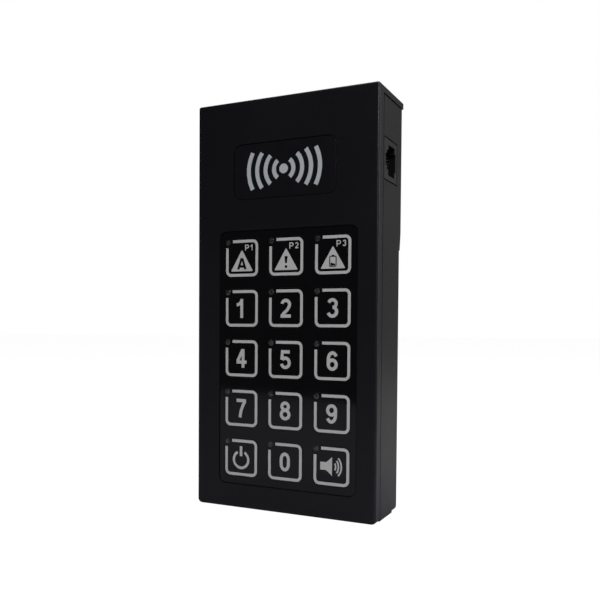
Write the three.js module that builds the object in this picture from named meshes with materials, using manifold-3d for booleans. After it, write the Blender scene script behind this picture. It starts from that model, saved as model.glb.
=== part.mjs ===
// Handheld pager with a fifteen-key membrane keypad, as an assembly of its separate pieces.
// Millimetres, +Z up. The keypad faces -Y, and the origin is the centre of the footprint.
// Depths run from the front face towards the back: atDepth(0) is the front face.
import * as THREE from "three";
import { mergeVertices } from "three/addons/utils/BufferGeometryUtils.js";
import Module from "manifold-3d";

const wasm = await Module();
wasm.setup();

// ---------------------------------------------------------------- case
const WIDTH = 66.8;
const HEIGHT = 140;
const WALL = 2.2;
const FACE_WALL = 2.4;
const TOP_WALL = 2.4;
const RIM_DEPTH = 4.1; // how far the front cover wraps back round the sides
const SEAM = 1; // shadow gap between the two covers, round the sides
const TOP_SEAM = 0.25; // and under the top wall
const REVEAL = 0.2; // how far the rear cover's sides stand in from the rim
const LIP = 0.9; // overhang of the top wall past the upper back
const BACK_STEP = 1; // the lower back lies this far in from the upper back
const STEP_RISE = 6.8; // height of the slope between the two
const STEP_ABOVE_DOOR = 5.4;
const TOP_FLARE = 0.6; // the upper back thickens by this under the lip
const FLARE_HEIGHT = 3.2;
const TOP_CORNER = 0.8;
const REAR_TOP_CORNER = 0.2; // under the top wall
const REAR_BOTTOM_CORNER = 0.4;
const BOTTOM_CORNER = 1.6;
const FACE_EDGE = 0.7; // rounding of the front face's edge
const BACK_EDGE = 0.9; // rounding of the rear cover's upright edges
const FOOT_DEPTH = 17.4; // the flat foot ends here, and the bottom steps up behind it
const FOOT_STEP = 0.9;
const HEEL_RADIUS = 2.2;
const TONGUE = 1.2; // thickness of the rear cover's tongue inside the rim
const TONGUE_REACH = 2.3;
const TONGUE_ROOT = 2;
const FIT = 0.2; // clearance between pieces that slot together

// ---------------------------------------------------------------- keypad
const KEYPAD_X = 1; // the keypad's centre lies this far to the right of the case's
const COLUMNS = 3;
const ROWS = 5;
const KEY_PITCH_X = 16.9;
const KEY_PITCH_Z = 17.25;
const KEY_SIZE = 13.1;
const KEY_CORNER = 1.9;
const KEY_GAP = 0.25;
const KEY_TRAVEL = 0.35;
const PUSHER_RADIUS = 2.5;
const WINDOW_MARGIN_X = 2.15; // outer keys to the edge of the keypad recess
const WINDOW_MARGIN_Z = 2.8;
const WINDOW_BOTTOM = 8.1;
const WINDOW_CORNER = 2.4;
const WINDOW_RECESS = 0.9;
const FILM = 0.45; // thickness of the overlay
const GLUE = 0.05;
const FILM_FIT = 0.25;
const KEY_NAMES = [
  ["key_p1", "key_p2", "key_p3"],
  ["key_1", "key_2", "key_3"],
  ["key_4", "key_5", "key_6"],
  ["key_7", "key_8", "key_9"],
  ["key_power", "key_0", "key_sound"],
];

// ---------------------------------------------------------------- badge
const BADGE_WIDTH = 38.2;
const BADGE_HEIGHT = 19;
const BADGE_CORNER = 3;
const BADGE_DROP = 24.3; // top of the case to the badge's centre
const BADGE_RECESS = 0.6;
const BADGE_THICKNESS = 0.4;

// ---------------------------------------------------------------- board and what it carries
const BOARD = 1.6;
const BOARD_FRONT = 4.3;
const BOARD_FIT = 0.5;
const BOARD_TOP_DROP = 12.5;
const BOARD_ROOM = 3.1; // behind the board, for what is soldered to it
const MOUNT_GAP = 0.1; // between the board and a piece soldered to it
const DOME_FILM = 0.25;
const DOME_RADIUS = 4;
const DOME_HEIGHT = 0.15; // height of a dome that is snapped down
const DOME_GAP = 0.05;
const DOME_SHEET_MARGIN = 0.35;
const LED_OFFSET = 5.5; // from a key's centre, to its upper left
const LED_RADIUS = 0.9;
const LED_HEIGHT = 1.4;
const LED_CUT = 2.6;
const CHIP = 10;
const CHIP_HEIGHT = 1.2;
const CHIP_RISE = 9; // above the battery tub
const BUZZER_RADIUS = 6;
const BUZZER_HEIGHT = 6;
const BUZZER_DROP = 23;
const BUZZER_X = -14;
const RADIO_WIDTH = 15;
const RADIO_HEIGHT = 18;
const RADIO_BOARD = 1;
const RADIO_CAN = 2;
const RADIO_X = 6;
const RADIO_DROP = 37;
const COIL_RADIUS = 2.4;
const COIL_WIRE = 0.4; // radius
const COIL_TURNS = 6;
const COIL_LENGTH = 18;
const COIL_CLEAR = 0.3; // to the rear cover's top wall
const COIL_DEPTH = 12;
const COIL_X = -6;

// ---------------------------------------------------------------- modular jack, six ways
const JACK_WIDTH = 13.2;
const JACK_HEIGHT = 12.8;
const JACK_LENGTH = 15.5;
const JACK_DROP = 22.6;
const JACK_FIT = 0.4;
const PLUG_WIDTH = 9.9;
const PLUG_HEIGHT = 6.6;
const PLUG_DEPTH = 12.5;
const LATCH_STEP = 6.3; // width of the latch's first step
const LATCH_STEP_HEIGHT = 1.5;
const LATCH_SLOT = 3.9; // width of the latch's second step
const LATCH_SLOT_HEIGHT = 1.3;
const CONTACT_SLOT = 6.1;
const CONTACT_SLOT_HEIGHT = 1.1;
const JACK_LATCH_WALL = 1.1;
const CONTACTS = 6;
const CONTACT_PITCH = 1.02;
const CONTACT_WIRE = 0.35;

// ---------------------------------------------------------------- battery bay and door
const CELLS = 3;
const CELL_DIAMETER = 10.3;
const CELL_LENGTH = 44.5;
const CELL_GAP = 0.7;
const CELL_NUB = 0.8;
const CELL_NUB_RADIUS = 1.9;
const BAY_BOTTOM = 25.5;
const BAY_FIT = 0.6;
const BAY_WALL = 1.5;
const SPRING_ROOM = 4.6;
const BUTTON_ROOM = 2;
const STRIP = 0.4; // thickness of a battery contact strip
const STRIP_HEIGHT = 8;
const SPRING_TURNS = 3.5;
const SPRING_WIRE = 0.35; // radius
const SPRING_BASE = 3.4;
const SPRING_TIP = 2;
const DOOR = 1.8;
const DOOR_LEDGE_SIDE = 3.5;
const DOOR_LEDGE_TOP = 6.3;
const DOOR_LEDGE_BOTTOM = 5.5;
const DOOR_FIT = 0.3;
const DOOR_CORNER = 1.5;
const DOOR_FRAME = 1.5; // thickening behind the door's ledge
const TAB_WIDTH = 6;
const TAB_THICKNESS = 1;
const TAB_REACH = 2.3;
const TAB_LAP = 0.6; // how far a tab stands in from the door's inner face
const TAB_X = 12;
const TAB_SWING = 1.2; // room below a tab for its foot as the door tips
const THUMB_RIBS = 5;
const THUMB_RIB_PITCH = 2.2;
const THUMB_RIB_WIDTH = 14;
const THUMB_RIB = 0.8;
const THUMB_RIB_DEPTH = 0.5;
const THUMB_RIB_RISE = 5;
const NOTCH_RADIUS = 7; // finger notch below the door
const NOTCH_DEPTH = 1;

// ---------------------------------------------------------------- screws and sound slots
const SCREW_CLEAR = 0.4; // front boss to the tongue
const SCREW_TOP_CLEAR = 2.1;
const SCREW_SEAT = 16.5; // depth of the seat under the head
const SCREW_TIP = 5.2;
const SCREW_RADIUS = 1.1;
const SCREW_FIT = 0.15;
const HEAD_RADIUS = 2.2;
const HEAD_HEIGHT = 1.6;
const HEAD_FIT = 0.25;
const FRONT_BOSS = 3;
const REAR_BOSS = 3.5;
const BOSS_MEET = 10; // depth at which the front bosses end
const BOSS_GAP = 0.4;
const BOARD_SCREW_X = 24;
const BOARD_SCREW_RISE = 5.8; // above the keypad recess
const BOARD_BOSS = 2.2;
const BOARD_SCREW_TIP = 2.6;
const SLOTS = 5;
const SLOT_LENGTH = 10;
const SLOT_WIDTH = 1.2;
const SLOT_PITCH = 2.6;

// ---------------------------------------------------------------- what follows from those
const HALF = WIDTH / 2;
const BOARD_BACK = BOARD_FRONT + BOARD;
const BAY_FLOOR = BOARD_BACK + BOARD_ROOM + BAY_WALL;
const CELL_DEPTH = BAY_FLOOR + FIT + CELL_DIAMETER / 2;
const DOOR_INNER = CELL_DEPTH + CELL_DIAMETER / 2 + DOOR_FIT;
const LOWER_BACK = DOOR_INNER + DOOR;
const UPPER_BACK = LOWER_BACK + BACK_STEP;
const DEPTH = UPPER_BACK + LIP; // front face to the tip of the top lip
const REAR_FRONT = RIM_DEPTH + SEAM;
const REAR_HALF = HALF - REVEAL;
const REAR_TOP = HEIGHT - TOP_WALL - TOP_SEAM;
const KEY_HOLE = KEY_SIZE + 2 * KEY_GAP;
const GRID_X = (COLUMNS - 1) * KEY_PITCH_X;
const GRID_Z = (ROWS - 1) * KEY_PITCH_Z;
const WINDOW_HALF = (GRID_X + KEY_SIZE) / 2 + WINDOW_MARGIN_X;
const WINDOW_TOP = WINDOW_BOTTOM + GRID_Z + KEY_SIZE + 2 * WINDOW_MARGIN_Z;
const WINDOW_CENTRE = (WINDOW_BOTTOM + WINDOW_TOP) / 2;
const FILM_BACK = WINDOW_RECESS - GLUE;
const BADGE_CENTRE = HEIGHT - BADGE_DROP;
const BOARD_HALF = HALF - WALL - FIT - TONGUE - BOARD_FIT;
const BOARD_BOTTOM = WALL + FIT + TONGUE + BOARD_FIT;
const BOARD_TOP = HEIGHT - BOARD_TOP_DROP;
const MOUNT = BOARD_BACK + MOUNT_GAP;
const DOME_TOP = BOARD_FRONT - DOME_GAP - DOME_FILM - DOME_HEIGHT;
const PUSHER_END = DOME_TOP - DOME_GAP - KEY_TRAVEL;
const BAY_HALF = (CELLS * CELL_DIAMETER + (CELLS - 1) * CELL_GAP) / 2 + BAY_FIT;
const BAY_TOP = BAY_BOTTOM + CELL_LENGTH + SPRING_ROOM + BUTTON_ROOM + 2 * (STRIP + MOUNT_GAP);
const DOOR_HALF = BAY_HALF + DOOR_LEDGE_SIDE;
const DOOR_BOTTOM = BAY_BOTTOM - DOOR_LEDGE_BOTTOM;
const DOOR_TOP = BAY_TOP + DOOR_LEDGE_TOP;
const STEP_BOTTOM = DOOR_TOP + STEP_ABOVE_DOOR;
const JACK_Z = HEIGHT - JACK_DROP;
const SCREW_BOTTOM = WALL + FIT + TONGUE + FRONT_BOSS + SCREW_CLEAR;
const SCREW_X = HALF - SCREW_BOTTOM;
const SCREW_TOP = REAR_TOP - TONGUE - FRONT_BOSS - SCREW_TOP_CLEAR;
const BOARD_SCREW_Z = WINDOW_TOP + BOARD_SCREW_RISE;
const SCREW_SPOTS = [
  [-SCREW_X, SCREW_BOTTOM],
  [SCREW_X, SCREW_BOTTOM],
  [-SCREW_X, SCREW_TOP],
  [SCREW_X, SCREW_TOP],
];
const BOARD_SCREW_SPOTS = [
  [-BOARD_SCREW_X, BOARD_SCREW_Z],
  [BOARD_SCREW_X, BOARD_SCREW_Z],
];

// Segments of a quarter turn in an outline, and of a full turn on a round piece.
const ARC = 5;
const ROUND = 16;
const SMALL_ROUND = 10;
const FAR = 400; // a cutting block's reach past the part

const atDepth = (depth) => depth - DEPTH / 2;

// ---------------------------------------------------------------- shapes and solids
function roundedRect(left, bottom, right, top, bottomRadius, topRadius = bottomRadius) {
  const shape = new THREE.Shape();
  shape.moveTo(left + bottomRadius, bottom);
  shape.lineTo(right - bottomRadius, bottom);
  shape.absarc(right - bottomRadius, bottom + bottomRadius, bottomRadius, -Math.PI / 2, 0);
  shape.lineTo(right, top - topRadius);
  shape.absarc(right - topRadius, top - topRadius, topRadius, 0, Math.PI / 2);
  shape.lineTo(left + topRadius, top);
  shape.absarc(left + topRadius, top - topRadius, topRadius, Math.PI / 2, Math.PI);
  shape.lineTo(left, bottom + bottomRadius);
  shape.absarc(left + bottomRadius, bottom + bottomRadius, bottomRadius, Math.PI, 1.5 * Math.PI);
  return shape;
}

const centredRect = (x, z, width, height, radius) =>
  roundedRect(x - width / 2, z - height / 2, x + width / 2, z + height / 2, radius);

function solid(geometry) {
  const bare = geometry.index ? geometry.toNonIndexed() : geometry.clone();
  bare.deleteAttribute("normal");
  bare.deleteAttribute("uv");
  const merged = mergeVertices(bare, 1e-4);
  const vertProperties = merged.attributes.position.array;
  const triVerts = new Uint32Array(merged.index.array);
  return new wasm.Manifold(new wasm.Mesh({ numProp: 3, vertProperties, triVerts }));
}

// An outline in X and Z, made solid from one depth to another.
function slab(shape, front, back, options = {}) {
  const settings = { depth: back - front, bevelEnabled: false, curveSegments: ARC, ...options };
  const geometry = new THREE.ExtrudeGeometry(shape, settings);
  return solid(geometry.rotateX(Math.PI / 2).translate(0, atDepth(back), 0));
}

// An outline of depth and Z, made solid from one X to another.
function alongX(shape, left, right) {
  const settings = { depth: right - left, bevelEnabled: false, curveSegments: ARC };
  const geometry = new THREE.ExtrudeGeometry(shape, settings);
  const turn = new THREE.Matrix4().makeBasis(
    new THREE.Vector3(0, 1, 0),
    new THREE.Vector3(0, 0, 1),
    new THREE.Vector3(1, 0, 0),
  );
  return solid(geometry.applyMatrix4(turn).translate(left, atDepth(0), 0));
}

// An outline of X and depth, made solid from one Z to another.
function alongZ(shape, bottom, top) {
  const settings = { depth: top - bottom, bevelEnabled: false, curveSegments: ARC };
  const geometry = new THREE.ExtrudeGeometry(shape, settings);
  return solid(geometry.translate(0, atDepth(0), bottom));
}

function block(left, right, front, back, bottom, top) {
  const geometry = new THREE.BoxGeometry(right - left, back - front, top - bottom);
  return solid(
    geometry.translate((left + right) / 2, atDepth((front + back) / 2), (bottom + top) / 2),
  );
}

// A round bar along the depth.
function post(x, z, radius, front, back, segments = ROUND) {
  const geometry = new THREE.CylinderGeometry(radius, radius, back - front, segments);
  return solid(geometry.translate(x, atDepth((front + back) / 2), z));
}

// A turned shape, [radius, depth] from its front to its back, with its axis along the depth.
function turned(profile, x, z, segments = SMALL_ROUND) {
  const points = profile.map(([radius, depth]) => new THREE.Vector2(radius, atDepth(depth)));
  return solid(new THREE.LatheGeometry(points, segments).translate(x, 0, z));
}

// A round wire along a list of points.
function wire(points, radius, steps, sides) {
  const section = new THREE.Shape();
  section.absarc(0, 0, radius, 0, 2 * Math.PI);
  const extrudePath = new THREE.CatmullRomCurve3(points);
  const settings = { steps, curveSegments: sides, bevelEnabled: false, extrudePath };
  return solid(new THREE.ExtrudeGeometry(section, settings));
}

const joined = (...solids) => wasm.Manifold.union(solids.flat());
const cutBy = (body, ...cutters) => body.subtract(joined(...cutters));

const pager = new THREE.Group();

function add(name, made, material) {
  const { numProp, vertProperties, triVerts } = made.getMesh();
  const points = new Float32Array((vertProperties.length / numProp) * 3);
  for (let i = 0; i * numProp < vertProperties.length; i++) {
    points.set(vertProperties.subarray(i * numProp, i * numProp + 3), i * 3);
  }
  const geometry = new THREE.BufferGeometry();
  geometry.setAttribute("position", new THREE.BufferAttribute(points, 3));
  geometry.setIndex(new THREE.BufferAttribute(triVerts, 1));
  geometry.computeVertexNormals();
  const mesh = new THREE.Mesh(geometry, material);
  mesh.name = name;
  pager.add(mesh);
}

const finish = (color, roughness, metalness = 0) =>
  new THREE.MeshStandardMaterial({ color, roughness, metalness });

const casePlastic = finish(0x17171b, 0.55);
const glossFilm = finish(0x08080b, 0.12);
const badgeFilm = finish(0x101014, 0.3);
const jackPlastic = finish(0x262627, 0.5);
const boardGreen = finish(0x14522c, 0.5);
const domeFilm = finish(0xb9b6a6, 0.35);
const ledLens = finish(0x6b5440, 0.25);
const blackPlastic = finish(0x121212, 0.45);
const brass = finish(0xc9a24a, 0.3, 1);
const steel = finish(0x9a9a9c, 0.35, 1);
const tin = finish(0xb5b5b5, 0.3, 1);
const cellJacket = finish(0x2d5c86, 0.4);

// ---------------------------------------------------------------- the keys' places
function eachKey(make) {
  KEY_NAMES.forEach((row, r) =>
    row.forEach((name, c) => {
      const x = KEYPAD_X + (c - (COLUMNS - 1) / 2) * KEY_PITCH_X;
      const z = WINDOW_CENTRE + ((ROWS - 1) / 2 - r) * KEY_PITCH_Z;
      make(name, x, z);
    }),
  );
}

function overKeys(make) {
  const made = [];
  eachKey((name, x, z) => made.push(make(x, z)));
  return made;
}

// The keypad's recess, or what lies in it with a gap all round.
const keypadOutline = (gap) =>
  centredRect(
    KEYPAD_X,
    WINDOW_CENTRE,
    2 * (WINDOW_HALF - gap),
    WINDOW_TOP - WINDOW_BOTTOM - 2 * gap,
    WINDOW_CORNER - gap,
  );

// ---------------------------------------------------------------- case pieces
const caseOutline = () => roundedRect(-HALF, 0, HALF, HEIGHT, BOTTOM_CORNER, TOP_CORNER);

function frontCover() {
  const rounded = {
    depth: DEPTH - 2 * FACE_EDGE,
    bevelEnabled: true,
    bevelThickness: FACE_EDGE,
    bevelSize: FACE_EDGE,
    bevelOffset: -FACE_EDGE,
    bevelSegments: 4,
  };
  const pebble = slab(caseOutline(), FACE_EDGE, DEPTH - FACE_EDGE, rounded);
  const rim = pebble.intersect(block(-FAR, FAR, -FAR, RIM_DEPTH, -FAR, FAR));
  const roof = slab(caseOutline(), FACE_EDGE, DEPTH).intersect(
    block(-FAR, FAR, -FAR, FAR, HEIGHT - TOP_WALL, FAR),
  );
  const hollow = block(-HALF + WALL, HALF - WALL, FACE_WALL, FAR, WALL, HEIGHT - TOP_WALL);
  const shell = joined(rim, roof).subtract(hollow);
  const bosses = SCREW_SPOTS.map(([x, z]) => post(x, z, FRONT_BOSS, FACE_WALL - FIT, BOSS_MEET));
  const boardBosses = BOARD_SCREW_SPOTS.map(([x, z]) =>
    post(x, z, BOARD_BOSS, FACE_WALL - FIT, BOARD_FRONT - MOUNT_GAP, SMALL_ROUND),
  );
  const pilots = SCREW_SPOTS.map(([x, z]) =>
    post(x, z, SCREW_RADIUS + SCREW_FIT, SCREW_TIP - SCREW_FIT, FAR, SMALL_ROUND),
  );
  const boardPilots = BOARD_SCREW_SPOTS.map(([x, z]) =>
    post(x, z, SCREW_RADIUS + SCREW_FIT, BOARD_SCREW_TIP - SCREW_FIT, FAR, SMALL_ROUND),
  );
  const windowRecess = slab(keypadOutline(0), -1, WINDOW_RECESS);
  const badgeRecess = slab(
    centredRect(0, BADGE_CENTRE, BADGE_WIDTH, BADGE_HEIGHT, BADGE_CORNER),
    -1,
    BADGE_RECESS,
  );
  const keyHoles = overKeys((x, z) =>
    slab(centredRect(x, z, KEY_HOLE, KEY_HOLE, KEY_CORNER + KEY_GAP), -1, FACE_WALL + 1, {
      curveSegments: 3,
    }),
  );
  const whole = joined(shell, bosses, boardBosses);
  const drilled = cutBy(whole, pilots, boardPilots);
  return cutBy(drilled, windowRecess, badgeRecess, keyHoles);
}

// The rear cover seen from the side: depth across, height up. Inset makes its hollow.
function rearProfile(inset) {
  const low = LOWER_BACK - inset;
  const high = UPPER_BACK - inset;
  const foot = inset;
  const heel = FOOT_STEP + inset;
  const radius = Math.max(HEEL_RADIUS - inset, 0.2);
  const shape = new THREE.Shape();
  shape.moveTo(REAR_FRONT - inset, foot);
  shape.lineTo(FOOT_DEPTH - inset, foot);
  shape.lineTo(FOOT_DEPTH - inset, heel);
  shape.lineTo(low - radius, heel);
  shape.absarc(low - radius, heel + radius, radius, -Math.PI / 2, 0);
  shape.lineTo(low, STEP_BOTTOM);
  shape.lineTo(high, STEP_BOTTOM + STEP_RISE);
  if (inset === 0) {
    shape.lineTo(high, REAR_TOP - FLARE_HEIGHT - TOP_FLARE);
    shape.lineTo(high + TOP_FLARE, REAR_TOP - FLARE_HEIGHT);
    shape.lineTo(high + TOP_FLARE, REAR_TOP);
  } else {
    shape.lineTo(high, REAR_TOP - inset);
  }
  shape.lineTo(REAR_FRONT - inset, REAR_TOP - inset);
  shape.closePath();
  return shape;
}

// The rear cover seen from above, with its upright edges rounded.
function rearPlan(front, back) {
  const side = REAR_HALF - BACK_EDGE;
  const shape = new THREE.Shape();
  shape.moveTo(-REAR_HALF, front);
  shape.lineTo(REAR_HALF, front);
  shape.absarc(side, back - BACK_EDGE, BACK_EDGE, 0, Math.PI / 2);
  shape.absarc(-side, back - BACK_EDGE, BACK_EDGE, Math.PI / 2, Math.PI);
  shape.closePath();
  return shape;
}

function rearShell() {
  const side = alongX(rearProfile(0), -REAR_HALF, REAR_HALF);
  const upright = joined(
    alongZ(rearPlan(REAR_FRONT - 1, LOWER_BACK), 0, REAR_TOP),
    alongZ(rearPlan(LOWER_BACK - BACK_EDGE, UPPER_BACK + TOP_FLARE), STEP_BOTTOM, REAR_TOP),
  );
  const faceOn = slab(
    roundedRect(-REAR_HALF, 0, REAR_HALF, REAR_TOP, REAR_BOTTOM_CORNER, REAR_TOP_CORNER),
    0,
    DEPTH + 1,
  );
  return side.intersect(upright).intersect(faceOn);
}

function rearTongue() {
  const outerHalf = HALF - WALL - FIT;
  const innerHalf = outerHalf - TONGUE;
  const low = WALL + FIT;
  const front = REAR_FRONT - TONGUE_REACH;
  const back = REAR_FRONT + TONGUE_ROOT;
  const outer = block(-outerHalf, outerHalf, front, back, low, REAR_TOP);
  const inner = block(-innerHalf, innerHalf, 0, DEPTH, low + TONGUE, REAR_TOP - TONGUE);
  return outer.subtract(inner);
}

// The opening that the battery door closes, with a pocket for each of its tabs.
function doorOpening() {
  const mouth = slab(
    roundedRect(
      -DOOR_HALF - DOOR_FIT,
      DOOR_BOTTOM - DOOR_FIT,
      DOOR_HALF + DOOR_FIT,
      DOOR_TOP + DOOR_FIT,
      DOOR_CORNER,
    ),
    DOOR_INNER - MOUNT_GAP,
    FAR,
  );
  const tabInner = DOOR_INNER - TAB_LAP;
  const pockets = [-TAB_X, TAB_X].map((x) =>
    block(
      x - TAB_WIDTH / 2 - DOOR_FIT,
      x + TAB_WIDTH / 2 + DOOR_FIT,
      tabInner - DOOR_FRAME - DOOR_FIT,
      tabInner + TAB_THICKNESS + DOOR_FIT,
      DOOR_TOP - TAB_REACH - TAB_SWING,
      DOOR_TOP + TAB_REACH + DOOR_FIT,
    ),
  );
  return joined(mouth, pockets);
}

function fingerNotch() {
  const sphere = new THREE.SphereGeometry(NOTCH_RADIUS, 18, 12);
  const centre = LOWER_BACK + NOTCH_RADIUS - NOTCH_DEPTH;
  return solid(sphere.translate(0, atDepth(centre), DOOR_BOTTOM));
}

function rearCover() {
  const shell = rearShell();
  const hollow = alongX(rearProfile(WALL), -REAR_HALF + WALL, REAR_HALF - WALL);
  const bayOuter = block(
    -BAY_HALF - BAY_WALL,
    BAY_HALF + BAY_WALL,
    BAY_FLOOR - BAY_WALL,
    LOWER_BACK - WALL + FIT,
    BAY_BOTTOM - BAY_WALL,
    BAY_TOP + BAY_WALL,
  );
  const frame = block(
    -DOOR_HALF - BAY_WALL,
    DOOR_HALF + BAY_WALL,
    LOWER_BACK - WALL - DOOR_FRAME,
    LOWER_BACK - WALL + FIT,
    DOOR_BOTTOM - BAY_WALL,
    DOOR_TOP + TAB_REACH + BAY_WALL,
  );
  const bosses = SCREW_SPOTS.map(([x, z]) =>
    post(x, z, REAR_BOSS, BOSS_MEET + BOSS_GAP, LOWER_BACK - WALL + FIT),
  );
  const topBosses = [2, 3].map((i) =>
    post(...SCREW_SPOTS[i], REAR_BOSS, BOSS_MEET + BOSS_GAP, UPPER_BACK - WALL + FIT),
  );
  const body = joined(shell.subtract(hollow), rearTongue(), bayOuter, frame, bosses, topBosses);
  const bay = block(-BAY_HALF, BAY_HALF, BAY_FLOOR, FAR, BAY_BOTTOM, BAY_TOP);
  const headHoles = SCREW_SPOTS.map(([x, z]) =>
    post(x, z, HEAD_RADIUS + HEAD_FIT, SCREW_SEAT, FAR),
  );
  const shankHoles = SCREW_SPOTS.map(([x, z]) =>
    post(x, z, SCREW_RADIUS + HEAD_FIT, 0, SCREW_SEAT + 1, SMALL_ROUND),
  );
  const jackHole = block(
    REAR_HALF - WALL - TONGUE - 1,
    FAR,
    MOUNT - JACK_FIT,
    MOUNT + JACK_HEIGHT + JACK_FIT,
    JACK_Z - JACK_WIDTH / 2 - JACK_FIT,
    JACK_Z + JACK_WIDTH / 2 + JACK_FIT,
  );
  const slots = Array.from({ length: SLOTS }, (_, i) => {
    const z = HEIGHT - BUZZER_DROP + (i - (SLOTS - 1) / 2) * SLOT_PITCH;
    const shape = centredRect(BUZZER_X, z, SLOT_LENGTH, SLOT_WIDTH, SLOT_WIDTH / 2 - 0.01);
    return slab(shape, UPPER_BACK - WALL - 1, FAR, { curveSegments: 3 });
  });
  return cutBy(body, bay, doorOpening(), fingerNotch(), headHoles, shankHoles, jackHole, slots);
}

function batteryDoor() {
  const outline = roundedRect(-DOOR_HALF, DOOR_BOTTOM, DOOR_HALF, DOOR_TOP, DOOR_CORNER);
  const panel = slab(outline, DOOR_INNER, LOWER_BACK);
  const tabInner = DOOR_INNER - TAB_LAP;
  const tabs = [-TAB_X, TAB_X].map((x) =>
    block(
      x - TAB_WIDTH / 2,
      x + TAB_WIDTH / 2,
      tabInner,
      tabInner + TAB_THICKNESS,
      DOOR_TOP - TAB_REACH,
      DOOR_TOP + TAB_REACH,
    ),
  );
  const grooves = Array.from({ length: THUMB_RIBS }, (_, i) => {
    const z = DOOR_BOTTOM + THUMB_RIB_RISE + i * THUMB_RIB_PITCH;
    const half = THUMB_RIB_WIDTH / 2;
    const floor = LOWER_BACK - THUMB_RIB_DEPTH;
    return block(-half, half, floor, FAR, z - THUMB_RIB / 2, z + THUMB_RIB / 2);
  });
  return cutBy(joined(panel, tabs), grooves);
}

// ---------------------------------------------------------------- keypad pieces
function keypadOverlay() {
  const holes = overKeys((x, z) =>
    slab(centredRect(x, z, KEY_HOLE, KEY_HOLE, KEY_CORNER + KEY_GAP), 0, FACE_WALL, {
      curveSegments: 3,
    }),
  );
  return cutBy(slab(keypadOutline(FILM_FIT), FILM_BACK - FILM, FILM_BACK), holes);
}

function key(x, z) {
  const shape = centredRect(x, z, KEY_SIZE, KEY_SIZE, KEY_CORNER);
  const face = slab(shape, FILM_BACK - FILM, FILM_BACK, { curveSegments: 3 });
  const pusher = post(x, z, PUSHER_RADIUS, FILM_BACK - FILM / 2, PUSHER_END, SMALL_ROUND);
  return joined(face, pusher);
}

function domeSheet() {
  const halfX = GRID_X / 2 + KEY_SIZE / 2 - DOME_SHEET_MARGIN;
  const halfZ = GRID_Z / 2 + KEY_SIZE / 2 - DOME_SHEET_MARGIN;
  const back = BOARD_FRONT - DOME_GAP;
  const front = back - DOME_FILM;
  const low = WINDOW_CENTRE - halfZ;
  const left = KEYPAD_X - halfX;
  const film = block(left, left + 2 * halfX, front, back, low, WINDOW_CENTRE + halfZ);
  const domes = overKeys((x, z) => post(x, z, DOME_RADIUS, DOME_TOP, back - DOME_FILM / 2));
  const cuts = overKeys((x, z) => {
    const ledX = x - LED_OFFSET;
    const ledZ = z + LED_OFFSET;
    const half = LED_CUT / 2;
    return block(ledX - half, ledX + half, 0, BOARD_FRONT, ledZ - half, ledZ + half);
  });
  return cutBy(joined(film, domes), cuts);
}

function led(x, z) {
  const back = BOARD_FRONT - DOME_GAP;
  const front = back - LED_HEIGHT;
  const profile = [
    [0, front],
    [LED_RADIUS * 0.7, front + LED_HEIGHT * 0.15],
    [LED_RADIUS, front + LED_HEIGHT * 0.5],
    [LED_RADIUS, back],
    [0, back],
  ];
  return turned(profile, x - LED_OFFSET, z + LED_OFFSET, 8);
}

// ---------------------------------------------------------------- board pieces
function mainBoard() {
  const outline = roundedRect(-BOARD_HALF, BOARD_BOTTOM, BOARD_HALF, BOARD_TOP, 1);
  const plate = slab(outline, BOARD_FRONT, BOARD_BACK, { curveSegments: 2 });
  const notchX = SCREW_X - FRONT_BOSS - BOARD_FIT;
  const notchTop = SCREW_BOTTOM + FRONT_BOSS + BOARD_FIT;
  const notches = [
    block(-FAR, -notchX, 0, DEPTH, 0, notchTop),
    block(notchX, FAR, 0, DEPTH, 0, notchTop),
  ];
  const screwHoles = BOARD_SCREW_SPOTS.map(([x, z]) =>
    post(x, z, SCREW_RADIUS + SCREW_FIT, 0, DEPTH, SMALL_ROUND),
  );
  return cutBy(plate, notches, screwHoles);
}

function controllerChip() {
  const z = BAY_TOP + BAY_WALL + CHIP_RISE;
  return block(-CHIP / 2, CHIP / 2, MOUNT, MOUNT + CHIP_HEIGHT, z - CHIP / 2, z + CHIP / 2);
}

function buzzer() {
  const z = HEIGHT - BUZZER_DROP;
  const can = post(BUZZER_X, z, BUZZER_RADIUS, MOUNT, MOUNT + BUZZER_HEIGHT);
  const soundHole = post(BUZZER_X, z, 1.2, MOUNT + BUZZER_HEIGHT - 1, FAR, SMALL_ROUND);
  return can.subtract(soundHole);
}

function radioModule() {
  const z = HEIGHT - RADIO_DROP;
  const left = RADIO_X - RADIO_WIDTH / 2;
  const right = RADIO_X + RADIO_WIDTH / 2;
  const top = z + RADIO_HEIGHT / 2;
  const canBack = MOUNT + RADIO_BOARD + RADIO_CAN;
  const board = block(left, right, MOUNT, MOUNT + RADIO_BOARD, z - RADIO_HEIGHT / 2, top);
  const canFront = MOUNT + RADIO_BOARD / 2;
  const can = block(left + 1, right - 1, canFront, canBack, z - RADIO_HEIGHT / 2 + 1, top - 4);
  return joined(board, can);
}

function antennaCoil() {
  const z = REAR_TOP - WALL - COIL_CLEAR - COIL_WIRE - COIL_RADIUS;
  const depth = atDepth(COIL_DEPTH);
  const left = COIL_X - COIL_LENGTH / 2;
  const perTurn = 8;
  const points = [
    new THREE.Vector3(left - 2, atDepth(MOUNT + 0.5), BOARD_TOP - 2),
    new THREE.Vector3(left - 2, atDepth(MOUNT + 3), BOARD_TOP - 1.5),
  ];
  for (let i = 0; i <= COIL_TURNS * perTurn; i++) {
    const angle = Math.PI + (2 * Math.PI * i) / perTurn;
    points.push(
      new THREE.Vector3(
        left + (COIL_LENGTH * i) / (COIL_TURNS * perTurn),
        depth - COIL_RADIUS * Math.sin(angle),
        z + COIL_RADIUS * Math.cos(angle),
      ),
    );
  }
  return wire(points, COIL_WIRE, points.length, 5);
}

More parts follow.
